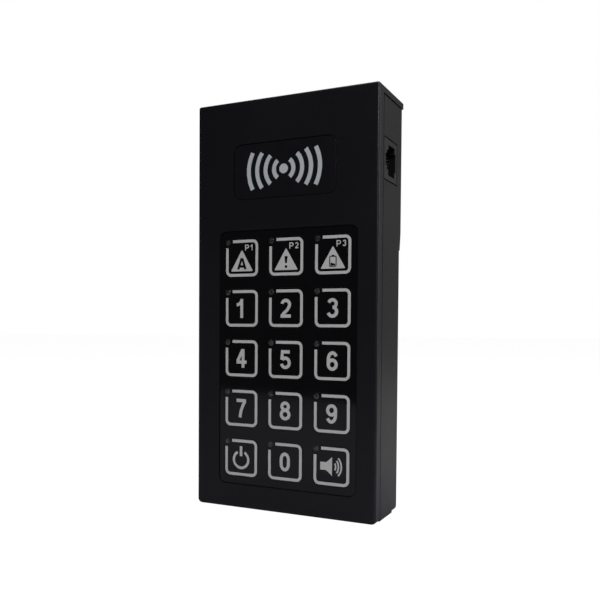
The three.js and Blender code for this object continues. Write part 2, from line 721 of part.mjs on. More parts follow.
function jackHousing() {
  const left = REAR_HALF - JACK_LENGTH;
  const mouth = REAR_HALF - PLUG_DEPTH;
  const half = JACK_WIDTH / 2;
  const body = block(left, REAR_HALF, MOUNT, MOUNT + JACK_HEIGHT, JACK_Z - half, JACK_Z + half);
  const steps = [
    [LATCH_SLOT, LATCH_SLOT_HEIGHT],
    [LATCH_STEP, LATCH_STEP_HEIGHT],
    [PLUG_WIDTH, PLUG_HEIGHT],
    [CONTACT_SLOT, CONTACT_SLOT_HEIGHT],
  ];
  let depth = MOUNT + JACK_LATCH_WALL;
  const cuts = steps.map(([width, height]) => {
    const front = depth;
    depth += height;
    return block(mouth, FAR, front - 0.01, depth, JACK_Z - width / 2, JACK_Z + width / 2);
  });
  const wireSlot = block(
    left + 1.2,
    mouth + 1,
    depth - CONTACT_SLOT_HEIGHT,
    depth,
    JACK_Z - CONTACT_SLOT / 2,
    JACK_Z + CONTACT_SLOT / 2,
  );
  return cutBy(body, cuts, wireSlot);
}

// Six sprung wires on one carrier, which slope down into the jack's mouth.
function jackContacts() {
  const back = MOUNT + JACK_LATCH_WALL + LATCH_SLOT_HEIGHT + LATCH_STEP_HEIGHT + PLUG_HEIGHT
    + CONTACT_SLOT_HEIGHT - FIT;
  const carrierFront = back - CONTACT_SLOT_HEIGHT + 2 * FIT;
  const start = REAR_HALF - PLUG_DEPTH - 0.5;
  const end = REAR_HALF - 2.5;
  const half = CONTACT_SLOT / 2 - FIT;
  const carrier = block(start - 1, start + 1, carrierFront, back, JACK_Z - half, JACK_Z + half);
  const fingers = Array.from({ length: CONTACTS }, (_, i) => {
    const z = JACK_Z + (i - (CONTACTS - 1) / 2) * CONTACT_PITCH;
    const shape = new THREE.Shape();
    shape.moveTo(carrierFront + 0.1, start);
    shape.lineTo(back - 0.1, start);
    shape.lineTo(back - 0.1, end);
    shape.lineTo(back - 0.4, end);
    shape.lineTo(back - 3.1, start + 2.2);
    shape.lineTo(back - 2.9, start + 1.9);
    shape.lineTo(back - 0.5, end - 1.6);
    shape.lineTo(back - 0.5, start + 0.8);
    shape.closePath();
    const settings = { depth: CONTACT_WIRE, bevelEnabled: false };
    const turn = new THREE.Matrix4().makeBasis(
      new THREE.Vector3(0, 1, 0),
      new THREE.Vector3(1, 0, 0),
      new THREE.Vector3(0, 0, -1),
    );
    const finger = new THREE.ExtrudeGeometry(shape, settings).applyMatrix4(turn);
    return solid(finger.translate(0, atDepth(0), z + CONTACT_WIRE / 2));
  });
  return joined(carrier, fingers);
}

// ---------------------------------------------------------------- battery pieces
const cellX = (i) => (i - (CELLS - 1) / 2) * (CELL_DIAMETER + CELL_GAP);
const nubUp = (i) => i % 2 === 0;
const cellBottom = (i) =>
  BAY_BOTTOM + STRIP + MOUNT_GAP + (nubUp(i) ? SPRING_ROOM : BUTTON_ROOM);

// Turned about +Z, with its own zero at the bottom.
function upright(profile, x, depth, segments) {
  const points = profile.map(([radius, z]) => new THREE.Vector2(radius, z));
  const geometry = new THREE.LatheGeometry(points, segments).rotateX(Math.PI / 2);
  return solid(geometry.translate(x, atDepth(depth), 0));
}

function cell(i) {
  const low = cellBottom(i);
  const high = low + CELL_LENGTH;
  const radius = CELL_DIAMETER / 2;
  const flip = (z) => (nubUp(i) ? z : low + high - z);
  const profile = [
    [0, low],
    [radius - 0.4, low],
    [radius, low + 0.4],
    [radius, high - CELL_NUB - 0.5],
    [radius - 0.5, high - CELL_NUB],
    [CELL_NUB_RADIUS, high - CELL_NUB],
    [CELL_NUB_RADIUS, high],
    [0, high],
  ].map(([r, z]) => [r, flip(z)]);
  const ordered = nubUp(i) ? profile : profile.reverse();
  return upright(ordered, cellX(i), CELL_DEPTH, ROUND + 4);
}

function cellSpring(i) {
  const gap = SPRING_WIRE + FIT;
  const low = nubUp(i) ? cellBottom(i) - SPRING_ROOM + gap : cellBottom(i) + CELL_LENGTH + gap;
  const high = low + SPRING_ROOM - 2 * gap;
  const perTurn = 8;
  const count = SPRING_TURNS * perTurn;
  const points = Array.from({ length: count + 1 }, (_, n) => {
    const share = n / count;
    const along = nubUp(i) ? share : 1 - share;
    const radius = SPRING_BASE + (SPRING_TIP - SPRING_BASE) * share;
    const angle = (2 * Math.PI * n) / perTurn;
    return new THREE.Vector3(
      cellX(i) + radius * Math.cos(angle),
      atDepth(CELL_DEPTH) + radius * Math.sin(angle),
      low + (high - low) * along,
    );
  });
  return wire(points, SPRING_WIRE, count, 5);
}

// A strip across one end of the bay, with a button for each cell whose nub faces it.
function contactStrip(top) {
  const low = top ? BAY_TOP - MOUNT_GAP - STRIP : BAY_BOTTOM + MOUNT_GAP;
  const half = BAY_HALF - FIT;
  const front = CELL_DEPTH - STRIP_HEIGHT / 2;
  const strip = block(-half, half, front, front + STRIP_HEIGHT, low, low + STRIP);
  const reach = BUTTON_ROOM - FIT - MOUNT_GAP;
  const buttons = [];
  for (let i = 0; i < CELLS; i++) {
    if (nubUp(i) !== top) continue;
    const near = top ? low - reach : low + STRIP / 2;
    const far = top ? low + STRIP / 2 : low + STRIP + reach;
    buttons.push(
      upright([[0, near], [2, near], [2, far], [0, far]], cellX(i), CELL_DEPTH, SMALL_ROUND),
    );
  }
  return joined(strip, buttons);
}

// ---------------------------------------------------------------- screws
function screw(x, z, seat, tip, crossDepth) {
  const cone = 1.2;
  const back = seat + HEAD_HEIGHT;
  const profile = [
    [0, tip],
    [SCREW_RADIUS, tip + cone],
    [SCREW_RADIUS, seat],
    [HEAD_RADIUS, seat],
    [HEAD_RADIUS, back - 0.6],
    [HEAD_RADIUS * 0.75, back - 0.15],
    [0, back],
  ];
  const arm = HEAD_RADIUS * 0.62;
  const floor = back - crossDepth;
  return cutBy(
    turned(profile, x, z, 12),
    block(x - arm, x + arm, floor, FAR, z - 0.25, z + 0.25),
    block(x - 0.25, x + 0.25, floor, FAR, z - arm, z + arm),
  );
}

// ---------------------------------------------------------------- the assembly
add("front_cover", frontCover(), casePlastic);
add("rear_cover", rearCover(), casePlastic);
add("battery_door", batteryDoor(), casePlastic);
add("keypad_overlay", keypadOverlay(), glossFilm);
eachKey((name, x, z) => add(name, key(x, z), glossFilm));
add(
  "badge_plate",
  slab(
    centredRect(
      0,
      BADGE_CENTRE,
      BADGE_WIDTH - 2 * FILM_FIT,
      BADGE_HEIGHT - 2 * FILM_FIT,
      BADGE_CORNER - FILM_FIT,
    ),
    BADGE_RECESS - GLUE - BADGE_THICKNESS,
    BADGE_RECESS - GLUE,
  ),
  badgeFilm,
);
add("dome_sheet", domeSheet(), domeFilm);
add("main_board", mainBoard(), boardGreen);
eachKey((name, x, z) => add(name.replace("key_", "led_"), led(x, z), ledLens));
add("controller_chip", controllerChip(), blackPlastic);
add("buzzer", buzzer(), blackPlastic);
add("radio_module", radioModule(), tin);
add("antenna_coil", antennaCoil(), brass);
add("jack_housing", jackHousing(), jackPlastic);
add("jack_contacts", jackContacts(), brass);
for (let i = 0; i < CELLS; i++) {
  add("battery_cell_" + (i + 1), cell(i), cellJacket);
  add("battery_spring_" + (i + 1), cellSpring(i), steel);
}
add("contact_strip_top", contactStrip(true), tin);
add("contact_strip_bottom", contactStrip(false), tin);
SCREW_SPOTS.forEach(([x, z], i) =>
  add("case_screw_" + (i + 1), screw(x, z, SCREW_SEAT + BOSS_GAP / 2, SCREW_TIP, 0.9), steel),
);
BOARD_SCREW_SPOTS.forEach(([x, z], i) =>
  add("board_screw_" + (i + 1), screw(x, z, MOUNT, BOARD_SCREW_TIP, 0.7), steel),
);

export default pager;
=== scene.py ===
"""Finishes for a handheld pager: moulded shells, printed film keypad, socket and battery bay."""
import math

import bmesh
import bpy
from bpy.props import FloatProperty, FloatVectorProperty, PointerProperty
from mathutils import Matrix, Vector


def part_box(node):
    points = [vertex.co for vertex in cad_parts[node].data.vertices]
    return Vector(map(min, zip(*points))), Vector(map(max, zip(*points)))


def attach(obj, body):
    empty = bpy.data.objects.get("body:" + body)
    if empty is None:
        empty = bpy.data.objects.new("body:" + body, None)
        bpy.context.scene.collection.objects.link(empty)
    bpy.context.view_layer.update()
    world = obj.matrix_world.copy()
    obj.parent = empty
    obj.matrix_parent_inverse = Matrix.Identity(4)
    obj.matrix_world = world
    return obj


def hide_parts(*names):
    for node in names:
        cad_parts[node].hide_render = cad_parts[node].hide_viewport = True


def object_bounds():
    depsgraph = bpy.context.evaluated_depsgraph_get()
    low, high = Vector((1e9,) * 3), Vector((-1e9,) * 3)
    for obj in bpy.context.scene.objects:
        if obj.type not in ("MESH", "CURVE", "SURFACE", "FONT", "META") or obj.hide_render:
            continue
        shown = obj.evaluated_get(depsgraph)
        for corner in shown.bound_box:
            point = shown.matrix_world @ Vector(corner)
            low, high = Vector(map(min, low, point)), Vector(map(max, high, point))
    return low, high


bl_info = {
    "name": "Pager finishes",
    "version": (1, 0, 0),
    "blender": (4, 5, 0),
    "location": "3D View > Sidebar > Pager",
    "description": "Builds the moulded, printed and plated finishes of a handheld pager",
    "category": "Object",
}

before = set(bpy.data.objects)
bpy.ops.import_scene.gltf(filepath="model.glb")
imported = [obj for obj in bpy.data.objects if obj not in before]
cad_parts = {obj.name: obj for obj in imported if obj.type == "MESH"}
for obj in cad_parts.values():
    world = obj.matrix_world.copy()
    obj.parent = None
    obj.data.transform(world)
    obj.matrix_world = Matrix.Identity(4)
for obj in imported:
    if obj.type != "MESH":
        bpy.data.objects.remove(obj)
CAD_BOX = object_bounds()

MM = 0.001
# Flat shapes are drawn in millimetres in X and Y, facing +Z. This stands them up to face -Y.
UPRIGHT = Matrix(((MM, 0, 0, 0), (0, 0, -MM, 0), (0, MM, 0, 0), (0, 0, 0, 1)))

KEYS = sorted(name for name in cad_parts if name.startswith("key_"))
CELLS = sorted(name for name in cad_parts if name.startswith("battery_cell_"))
SPRINGS = sorted(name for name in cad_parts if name.startswith("battery_spring_"))
CASE_SCREWS = sorted(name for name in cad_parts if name.startswith("case_screw_"))
BOARD_SCREWS = sorted(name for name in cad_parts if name.startswith("board_screw_"))
LAMPS = sorted(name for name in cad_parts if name.startswith("led_"))


def middle(node):
    """The centre of a frame node."""
    low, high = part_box(node)
    return (low + high) / 2


# ------------------------------------------------------------------ settings
class CaseSettings(bpy.types.PropertyGroup):
    colour: FloatVectorProperty(
        name="Case colour",
        description="Moulded colour of both shells and the battery door",
        default=(0.0074, 0.007, 0.0094),
        subtype="COLOR",
        min=0,
        max=1,
    )
    edge: FloatProperty(
        name="Edge break",
        description="Width of the soft edge that moulding leaves on the shells",
        default=0.3 * MM,
        unit="LENGTH",
    )
    grain: FloatProperty(
        name="Grain size",
        description="Size of the spark-eroded grain on the shells",
        default=0.28 * MM,
        unit="LENGTH",
    )
    roughness: FloatProperty(
        name="Case roughness",
        description="Mean roughness of the grained plastic",
        default=0.38,
        min=0,
        max=1,
    )


class FilmSettings(bpy.types.PropertyGroup):
    colour: FloatVectorProperty(
        name="Film colour",
        description="Colour printed behind the clear film",
        default=(0.0025, 0.0025, 0.0035),
        subtype="COLOR",
        min=0,
        max=1,
    )
    corner: FloatProperty(
        name="Film corner",
        description="Corner radius of the film",
        default=2.15 * MM,
        unit="LENGTH",
    )
    zone_grow: FloatProperty(
        name="Zone growth",
        description="How far a pressed zone reaches past its frame node, to close its seam",
        default=0.2 * MM,
        unit="LENGTH",
    )
    seam: FloatProperty(
        name="Seam",
        description="Hairline left round each pressed zone",
        default=0.03 * MM,
        unit="LENGTH",
    )
    zone_corner: FloatProperty(
        name="Zone corner",
        description="Corner radius of a pressed zone",
        default=2.1 * MM,
        unit="LENGTH",
    )
    window: FloatProperty(
        name="Indicator window",
        description="Diameter of the tinted window over an indicator",
        default=1.9 * MM,
        unit="LENGTH",
    )


class PrintSettings(bpy.types.PropertyGroup):
    colour: FloatVectorProperty(
        name="Ink colour",
        description="Colour of the legends",
        default=(0.72, 0.72, 0.7),
        subtype="COLOR",
        min=0,
        max=1,
    )
    badge_colour: FloatVectorProperty(
        name="Badge ink colour",
        description="Colour of the sign on the badge",
        default=(0.66, 0.7, 0.725),
        subtype="COLOR",
        min=0,
        max=1,
    )
    half: FloatProperty(
        name="Key frame half size",
        description="From a key's centre to the middle of its printed line",
        default=5.8 * MM,
        unit="LENGTH",
    )
    line: FloatProperty(
        name="Line width",
        description="Width of the printed line round a key",
        default=0.98 * MM,
        unit="LENGTH",
    )
    bend: FloatProperty(
        name="Line bend",
        description="Radius of the printed line's corners",
        default=1.5 * MM,
        unit="LENGTH",
    )
    gap: FloatProperty(
        name="Line gap",
        description="How far the line stops short of the indicator's corner",
        default=2.2 * MM,
        unit="LENGTH",
    )
    ink: FloatProperty(
        name="Ink height",
        description="Height of a printed layer",
        default=0.012 * MM,
        unit="LENGTH",
    )


class StageSettings(bpy.types.PropertyGroup):
    camera_place: FloatVectorProperty(
        name="Camera place",
        description="Where the camera stands",
        default=(107.2 * MM, -229.4 * MM, 63.5 * MM),
        subtype="XYZ",
        unit="LENGTH",
    )
    camera_turn: FloatVectorProperty(
        name="Camera turn",
        description="How far the camera looks up, leans and is turned to the side",
        default=(math.radians(-1.75), math.radians(0.37), math.radians(25.97)),
        subtype="EULER",
        unit="ROTATION",
    )
    lens: FloatProperty(
        name="Lens",
        description="Focal length on a 36 mm wide sensor",
        default=43.3,
        unit="CAMERA",
    )
    shift: FloatVectorProperty(
        name="Shift",
        description="Sideways and upward shift of the frame, in frame widths",
        size=2,
        default=(0.0226, 0.0788),
    )
    floor: FloatProperty(
        name="Floor size",
        description="How far the pale floor runs to the sides and back",
        default=4.0,
        unit="LENGTH",
    )
    floor_edge: FloatProperty(
        name="Floor edge",
        description="How far before the keypad the floor ends, which its film mirrors",
        default=0.28,
        unit="LENGTH",
    )
    floor_turn: FloatProperty(
        name="Floor turn",
        description="How far the floor's edge is turned from the keypad's face",
        default=math.radians(22),
        unit="ROTATION",
    )
    key_power: FloatProperty(
        name="Key light",
        description="Power of the soft light before the keypad",
        default=5.0,
        unit="POWER",
    )
    side_power: FloatProperty(
        name="Side light",
        description="Power of the soft light behind the socket's side",
        default=1.0,
        unit="POWER",
    )
    top_power: FloatProperty(
        name="Top light",
        description="Power of the soft light overhead",
        default=5.0,
        unit="POWER",
    )


# ------------------------------------------------------------------ nodes
def feed(tree, socket, value):
    """Links a socket to another node's output, or sets its plain value."""
    if isinstance(value, bpy.types.NodeSocket):
        tree.links.new(value, socket)
    else:
        socket.default_value = value


def add_node(tree, kind, settings=None, **inputs):
    """A node with its settings and inputs. An underscore stands for a space in an input's name."""
    made = tree.nodes.new(kind)
    for name, value in (settings or {}).items():
        setattr(made, name, value)
    for name, value in inputs.items():
        feed(tree, made.inputs[name.replace("_", " ")], value)
    return made


# ------------------------------------------------------------------ finishes
class Finish:
    """A Principled material with short calls for the nodes that these finishes share."""

    def __init__(self, name, **values):
        self.material = bpy.data.materials.new(name)
        self.material.use_nodes = True
        self.tree = self.material.node_tree
        self.shader = self.tree.nodes["Principled BSDF"]
        for socket, value in values.items():
            self.shader.inputs[socket.replace("_", " ")].default_value = value
        self.place = self.node("ShaderNodeTexCoord").outputs["Object"]

    def node(self, kind, settings=None, **inputs):
        return add_node(self.tree, kind, settings, **inputs)

    def noise(self, size, detail=3.0, stretch=None, offset=0.0):
        """Noise whose blobs are about size metres across."""
        where = self.node(
            "ShaderNodeMapping",
            Vector=self.place,
            Location=(offset, offset, offset),
            Scale=stretch or (1, 1, 1),
        )
        kind = "ShaderNodeTexNoise"
        return self.node(kind, Vector=where.outputs[0], Scale=1 / size, Detail=detail).outputs[0]

    def cells(self, size):
        """Distance to the nearest of scattered points that are about size metres apart."""
        return self.node("ShaderNodeTexVoronoi", Vector=self.place, Scale=1 / size).outputs[0]

    def axes(self):
        """The place along each axis of the frame, in metres."""
        return self.node("ShaderNodeSeparateXYZ", Vector=self.place).outputs

    def span(self, value, low, high, to_low, to_high):
        """Maps a value from one range onto another, and holds it there."""
        ends = {"From_Min": low, "From_Max": high, "To_Min": to_low, "To_Max": to_high}
        return self.node("ShaderNodeMapRange", Value=value, **ends).outputs[0]

    def blend(self, share, first, second):
        """Two colours mixed, each a linked socket or three plain numbers."""
        made = self.node("ShaderNodeMix", {"data_type": "RGBA"}, Factor=share)
        for name, colour in (("A_Color", first), ("B_Color", second)):
            plain = not isinstance(colour, bpy.types.NodeSocket)
            socket = next(socket for socket in made.inputs if socket.identifier == name)
            feed(self.tree, socket, (*colour, 1) if plain else colour)
        return next(socket for socket in made.outputs if socket.identifier == "Result_Color")

    def maths(self, kind, first, second=0.0):
        made = self.node("ShaderNodeMath", {"operation": kind})
        for socket, value in zip(made.inputs, (first, second)):
            feed(self.tree, socket, value)
        return made.outputs[0]

    def colour(self, value):
        self.tree.links.new(value, self.shader.inputs["Base Color"])

    def roughness(self, value):
        self.tree.links.new(value, self.shader.inputs["Roughness"])

    def bump(self, *layers):
        """Layers of (height, depth in metres), the broadest first."""
        normal = None
        for height, depth in layers:
            made = self.node("ShaderNodeBump", Height=height, Distance=depth, Strength=1.0)
            if normal:
                self.tree.links.new(normal, made.inputs["Normal"])
            normal = made.outputs[0]
        self.tree.links.new(normal, self.shader.inputs["Normal"])


def scaled(colour, share):
    """A colour made darker or paler."""
    return tuple(channel * share for channel in colour)


def worn_and_highlit_edges(finish):
    """Patchy wear and a painted highlight, from 0 to 1, along the outer edges where two sides of
    the case meet.
    """
    low, high = (Vector(corner) for corner in CAD_BOX)
    across, depth, height = finish.axes()
    near, far = 0.3 * MM, 1.3 * MM
    side = finish.span(finish.maths("ABSOLUTE", across), high.x - far, high.x - near, 0, 1)
    front = finish.span(depth, low.y + near, low.y + far, 1, 0)
    top = finish.span(height, high.z - far, high.z - near, 0, 1)
    bottom = finish.span(height, low.z + near, low.z + far, 1, 0)
    ends = finish.maths("MAXIMUM", top, bottom)
    edges = finish.maths("MULTIPLY", side, finish.maths("MAXIMUM", front, ends))
    edges = finish.maths("MAXIMUM", edges, finish.maths("MULTIPLY", front, ends))
    patches = finish.span(finish.noise(5 * MM, 6, offset=7), 0.42, 0.62, 0.15, 1)
    return finish.maths("MULTIPLY", edges, patches)


def case_plastic(case):
    """Black ABS with a fine spark-eroded grain, rubbed a little smoother in patches and painted
    paler along its outer edges, partly as wear and partly as a painted highlight.
    """
    finish = Finish("case_plastic", Specular_IOR_Level=0.5)
    clouds = finish.noise(26 * MM, 4)
    even = finish.blend(clouds, scaled(case.colour, 0.82), scaled(case.colour, 1.2))
    wear_and_highlight = worn_and_highlit_edges(finish)
    # Paler along the outer edges: partly edge wear, partly a painted highlight on the edges.
    worn_and_highlit_colour = scaled(case.colour, 3.2)
    finish.colour(finish.blend(finish.maths("MULTIPLY", wear_and_highlight, 0.6), even, worn_and_highlit_colour))
    handled = finish.span(finish.noise(38 * MM, 5, offset=3), 0.4, 0.65, -0.05, 0.05)
    speck = finish.span(finish.cells(case.grain), 0, 0.8, -0.06, 0.06)
    mean = finish.span(wear_and_highlight, 0, 1, case.roughness, case.roughness - 0.1)
    finish.roughness(finish.maths("ADD", finish.maths("ADD", handled, mean), speck))
    grain = finish.noise(case.grain, 2)
    pits = finish.cells(case.grain * 1.6)
    finish.bump((finish.noise(9 * MM, 1), 0.012 * MM), (pits, 0.014 * MM), (grain, 0.02 * MM))
    return finish.material


def gloss_film(film):
    """Clear polyester over black print, with the faint waviness of a glued film."""
    finish = Finish("gloss_film", Specular_IOR_Level=0.5, Coat_Weight=0.35, Coat_Roughness=0.04)
    clouds = finish.noise(17 * MM, 3)
    finish.colour(finish.blend(clouds, scaled(film.colour, 0.8), scaled(film.colour, 1.3)))
    finish.roughness(finish.span(finish.noise(14 * MM, 6, offset=5), 0.5, 0.75, 0.07, 0.13))
    finish.bump((finish.noise(12 * MM, 1), 0.006 * MM), (finish.noise(0.9 * MM, 2), 0.0009 * MM))
    return finish.material


def badge_film():
    """Semi-gloss black film of the badge, with a fine even texture."""
    finish = Finish("badge_film", Specular_IOR_Level=0.45)
    finish.colour(finish.blend(finish.noise(9 * MM), (0.006, 0.006, 0.008), (0.009, 0.009, 0.012)))
    finish.roughness(finish.span(finish.noise(5 * MM, 5), 0.3, 0.7, 0.27, 0.36))
    finish.bump((finish.noise(0.22 * MM, 2), 0.006 * MM))
    return finish.material


def ink(name, colour, roughness):
    """Screen-printed ink: the mesh leaves a slight mottle in it."""
    finish = Finish(name, Specular_IOR_Level=0.4, Coat_Weight=0.25, Coat_Roughness=0.08)
    mottle = finish.noise(0.5 * MM, 4)
    cloud = finish.noise(6 * MM, 2)
    both = finish.maths("MULTIPLY", finish.maths("ADD", mottle, cloud), 0.5)
    finish.colour(finish.blend(both, scaled(colour, 0.84), scaled(colour, 1.12)))
    finish.roughness(finish.span(mottle, 0.3, 0.7, roughness - 0.05, roughness + 0.06))
    finish.bump((finish.noise(0.12 * MM, 1), 0.002 * MM))
    return finish.material


def window_tint():
    """Smoky window over an unlit indicator: a brown tint with a paler patch in it, a painted glint.
    """
    finish = Finish("window_tint", Specular_IOR_Level=0.8, Coat_Weight=1.0, Coat_Roughness=0.16)
    # The paler patch is a painted glint on the window, not part of the tint.
    speck = finish.span(finish.noise(0.8 * MM, 2), 0.44, 0.64, 0, 1)
    finish.colour(finish.blend(speck, (0.024, 0.019, 0.0165), (0.085, 0.067, 0.056)))
    finish.roughness(finish.span(finish.noise(0.4 * MM), 0.3, 0.7, 0.16, 0.3))
    finish.bump((finish.noise(0.7 * MM, 2), 0.01 * MM))
    return finish.material


def socket_plastic():
    """Dark nylon of the socket, scuffed paler on the face round its mouth and painted near black
    inside the mouth as painted shade.
    """
    finish = Finish("socket_plastic", Specular_IOR_Level=0.45)
    _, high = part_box("jack_housing")
    streak = finish.noise(1.1 * MM, 4, stretch=(0.35, 1, 1))
    scuffed = finish.blend(streak, (0.014, 0.0135, 0.0135), (0.03, 0.029, 0.029))
    # Inside the mouth the colour is near black: painted shade for the socket's shadowed interior.
    # The face keeps its scuffed nylon colour.
    face = finish.span(finish.axes()["X"], high.x - 0.35 * MM, high.x - 0.15 * MM, 0, 1)
    finish.colour(finish.blend(face, (0.0012, 0.0012, 0.0012), scuffed))
    finish.roughness(finish.span(finish.noise(0.8 * MM, 3), 0.3, 0.7, 0.36, 0.5))
    finish.bump((finish.noise(0.3 * MM, 3), 0.008 * MM))
    return finish.material


def plated(name, light, dark, roughness, grain=1.4 * MM):
    """Plated or drawn metal: fine drawing lines, with duller patches."""
    finish = Finish(name, Metallic=1.0)
    finish.colour(finish.blend(finish.noise(3.5 * MM, 4), dark, light))
    lines = finish.noise(grain, 3, stretch=(1, 1, 7))
    finish.roughness(finish.span(lines, 0.3, 0.7, roughness - 0.08, roughness + 0.1))
    finish.bump((lines, 0.006 * MM))
    return finish.material


def board_finish():
    """Green solder mask over copper: tracks show as raised, lighter bands."""
    finish = Finish("solder_mask", Specular_IOR_Level=0.5, Coat_Weight=0.3, Coat_Roughness=0.1)
    tracks = finish.node(
        "ShaderNodeTexBrick",
        {"offset": 0.37, "squash": 0.6},
        Vector=finish.place,
        Scale=1 / (9 * MM),
        Mortar_Size=0.035,
        Brick_Width=0.6,
        Row_Height=0.22,
    ).outputs["Fac"]
    finish.colour(finish.blend(tracks, (0.006, 0.05, 0.018), (0.015, 0.11, 0.04)))
    finish.roughness(finish.span(finish.noise(2 * MM, 3), 0.3, 0.7, 0.24, 0.38))
    finish.bump((tracks, 0.02 * MM), (finish.noise(0.6 * MM), 0.002 * MM))
    return finish.material


def moulded(name, light, dark, roughness):
    """Plain moulded plastic of small inner parts."""
    finish = Finish(name)
    finish.colour(finish.blend(finish.noise(2.4 * MM, 4), dark, light))
    sheen = finish.noise(1.2 * MM, 3)
    finish.roughness(finish.span(sheen, 0.3, 0.7, roughness - 0.05, roughness + 0.07))
    finish.bump((finish.noise(0.35 * MM, 2), 0.006 * MM))
    return finish.material


def cell_sleeve(node):
    """Shrink sleeve of a cell: coloured over most of its length, with plated metal at both ends."""
    low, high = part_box(node)
    finish = Finish("sleeve_" + node, Coat_Weight=0.3, Coat_Roughness=0.12)
    height = finish.axes()["Z"]
    rim = 1.4 * MM
    above = finish.maths("GREATER_THAN", height, low.z + rim)
    below = finish.maths("LESS_THAN", height, high.z - rim)
    sleeved = finish.maths("MULTIPLY", above, below)
    band = finish.maths("GREATER_THAN", height, low.z + (high.z - low.z) * 0.7)
    sleeve = finish.blend(band, (0.02, 0.1, 0.2), (0.16, 0.17, 0.18))
    bare = finish.blend(finish.noise(4 * MM, 4), (0.36, 0.36, 0.352), (0.5, 0.5, 0.49))
    finish.colour(finish.blend(sleeved, bare, sleeve))
    metal = finish.maths("SUBTRACT", 1.0, sleeved)
    finish.tree.links.new(metal, finish.shader.inputs["Metallic"])
    finish.roughness(finish.span(finish.noise(1.5 * MM, 3), 0.3, 0.7, 0.2, 0.34))
    finish.bump((finish.noise(1.8 * MM, 2, stretch=(1, 1, 0.2)), 0.01 * MM))
    return finish.material


# ------------------------------------------------------------------ meshes
def show(mesh, name, body, replaces=()):
    """Puts a finished mesh in the scene, on a body, and hides the frame nodes that it replaces."""
    piece = bpy.data.objects.new(name, mesh)
    mesh.name = name
    bpy.context.scene.collection.objects.link(piece)
    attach(piece, body)
    if replaces:
        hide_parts(*replaces)
    return piece


def plain_mesh(source):
    """The evaluated mesh of an object, which is then removed."""
    bpy.context.scene.collection.objects.link(source)
    depsgraph = bpy.context.evaluated_depsgraph_get()
    mesh = bpy.data.meshes.new_from_object(source.evaluated_get(depsgraph))
    bpy.data.objects.remove(source)
    return mesh


def closed(meshes, turn=None):
    """Several closed shells as one mesh, welded, facing outwards and put in place."""
    work = bmesh.new()
    for mesh in meshes:
        work.from_mesh(mesh)
    bmesh.ops.remove_doubles(work, verts=work.verts, dist=1e-4)
    bmesh.ops.recalc_face_normals(work, faces=work.faces)
    made = bpy.data.meshes.new("closed")
    work.to_mesh(made)
    work.free()
    made.shade_flat()
    if turn:
        made.transform(turn)
    return made


FLAT_ANGLE = math.radians(0.6)
SHARP_ANGLE = math.radians(32)


def eased(node, width, merged=True):
    """A frame node's shape with its sharp edges broken, as a mould or a tumbler leaves them.

    Its flats are merged into whole faces first, unless grooves would leave holes in such a face.
    """
    work = bmesh.new()
    work.from_mesh(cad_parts[node].data)
    bmesh.ops.remove_doubles(work, verts=work.verts, dist=1e-6)
    if merged:
        bmesh.ops.dissolve_limit(
            work,
            angle_limit=FLAT_ANGLE,
            verts=work.verts,
            edges=work.edges,
            use_dissolve_boundaries=False,
        )
    bare = bpy.data.meshes.new("eased")
    work.to_mesh(bare)
    work.free()
    bare.shade_smooth()
    source = bpy.data.objects.new("eased", bare)
    bevel = source.modifiers.new("edge", "BEVEL")
    bevel.width = width
    bevel.segments = 2
    bevel.limit_method = "ANGLE"
    bevel.angle_limit = SHARP_ANGLE
    bevel.use_clamp_overlap = True
    bevel.miter_outer = "MITER_ARC"
    weigh = source.modifiers.new("shade", "WEIGHTED_NORMAL")
    weigh.keep_sharp = True
    return plain_mesh(source)


def paint(mesh, material):
    """A mesh with one material all over."""
    mesh.materials.clear()
    mesh.materials.append(material)
    return mesh


def arc(x, y, radius_x, radius_y, start, end, steps=14):
    """Points round an ellipse from one angle to another, in degrees."""
    turns = [math.radians(start + (end - start) * i / steps) for i in range(steps + 1)]
    return [(x + radius_x * math.cos(t), y + radius_y * math.sin(t)) for t in turns]


def rounded(x, y, half_x, half_y, radius, steps=8):
    """The outline of a rectangle with rounded corners."""
    points = []
    for i, (side_x, side_y) in enumerate(((1, 1), (-1, 1), (-1, -1), (1, -1))):
        centre_x = x + side_x * (half_x - radius)
        centre_y = y + side_y * (half_y - radius)
        points += arc(centre_x, centre_y, radius, radius, 90 * i, 90 * (i + 1), steps)
    return points


def sheet(outlines, thickness, lip=0.0):
    """A flat filled shape, its holes included, from z = 0 up to its thickness."""
    curve = bpy.data.curves.new("sheet", "CURVE")
    curve.dimensions = "2D"
    curve.fill_mode = "BOTH"
    curve.extrude = thickness / 2 - lip
    curve.bevel_depth = lip
    curve.bevel_resolution = 1
    curve.offset = -lip
    for outline in outlines:
        spline = curve.splines.new("POLY")
        spline.points.add(len(outline) - 1)
        for point, (x, y) in zip(spline.points, outline):
            point.co = (x, y, 0, 1)
        spline.use_cyclic_u = True
    mesh = plain_mesh(bpy.data.objects.new("sheet", curve))
    mesh.transform(Matrix.Translation((0, 0, thickness / 2)))
    return mesh


def path_mesh(chains, lift=0.002):
    """Lines for a node tree to sweep, each a hair above the last so that crossings stay clean."""
    points, edges = [], []
    for i, (chain, loop) in enumerate(chains):
        start = len(points)
        points += [(x, y, i * lift) for x, y in chain]
        edges += [(start + k, start + k + 1) for k in range(len(chain) - 1)]
        if loop:
            edges.append((len(points) - 1, start))
    mesh = bpy.data.meshes.new("path")
    mesh.from_pydata(points, edges, [])
    return mesh


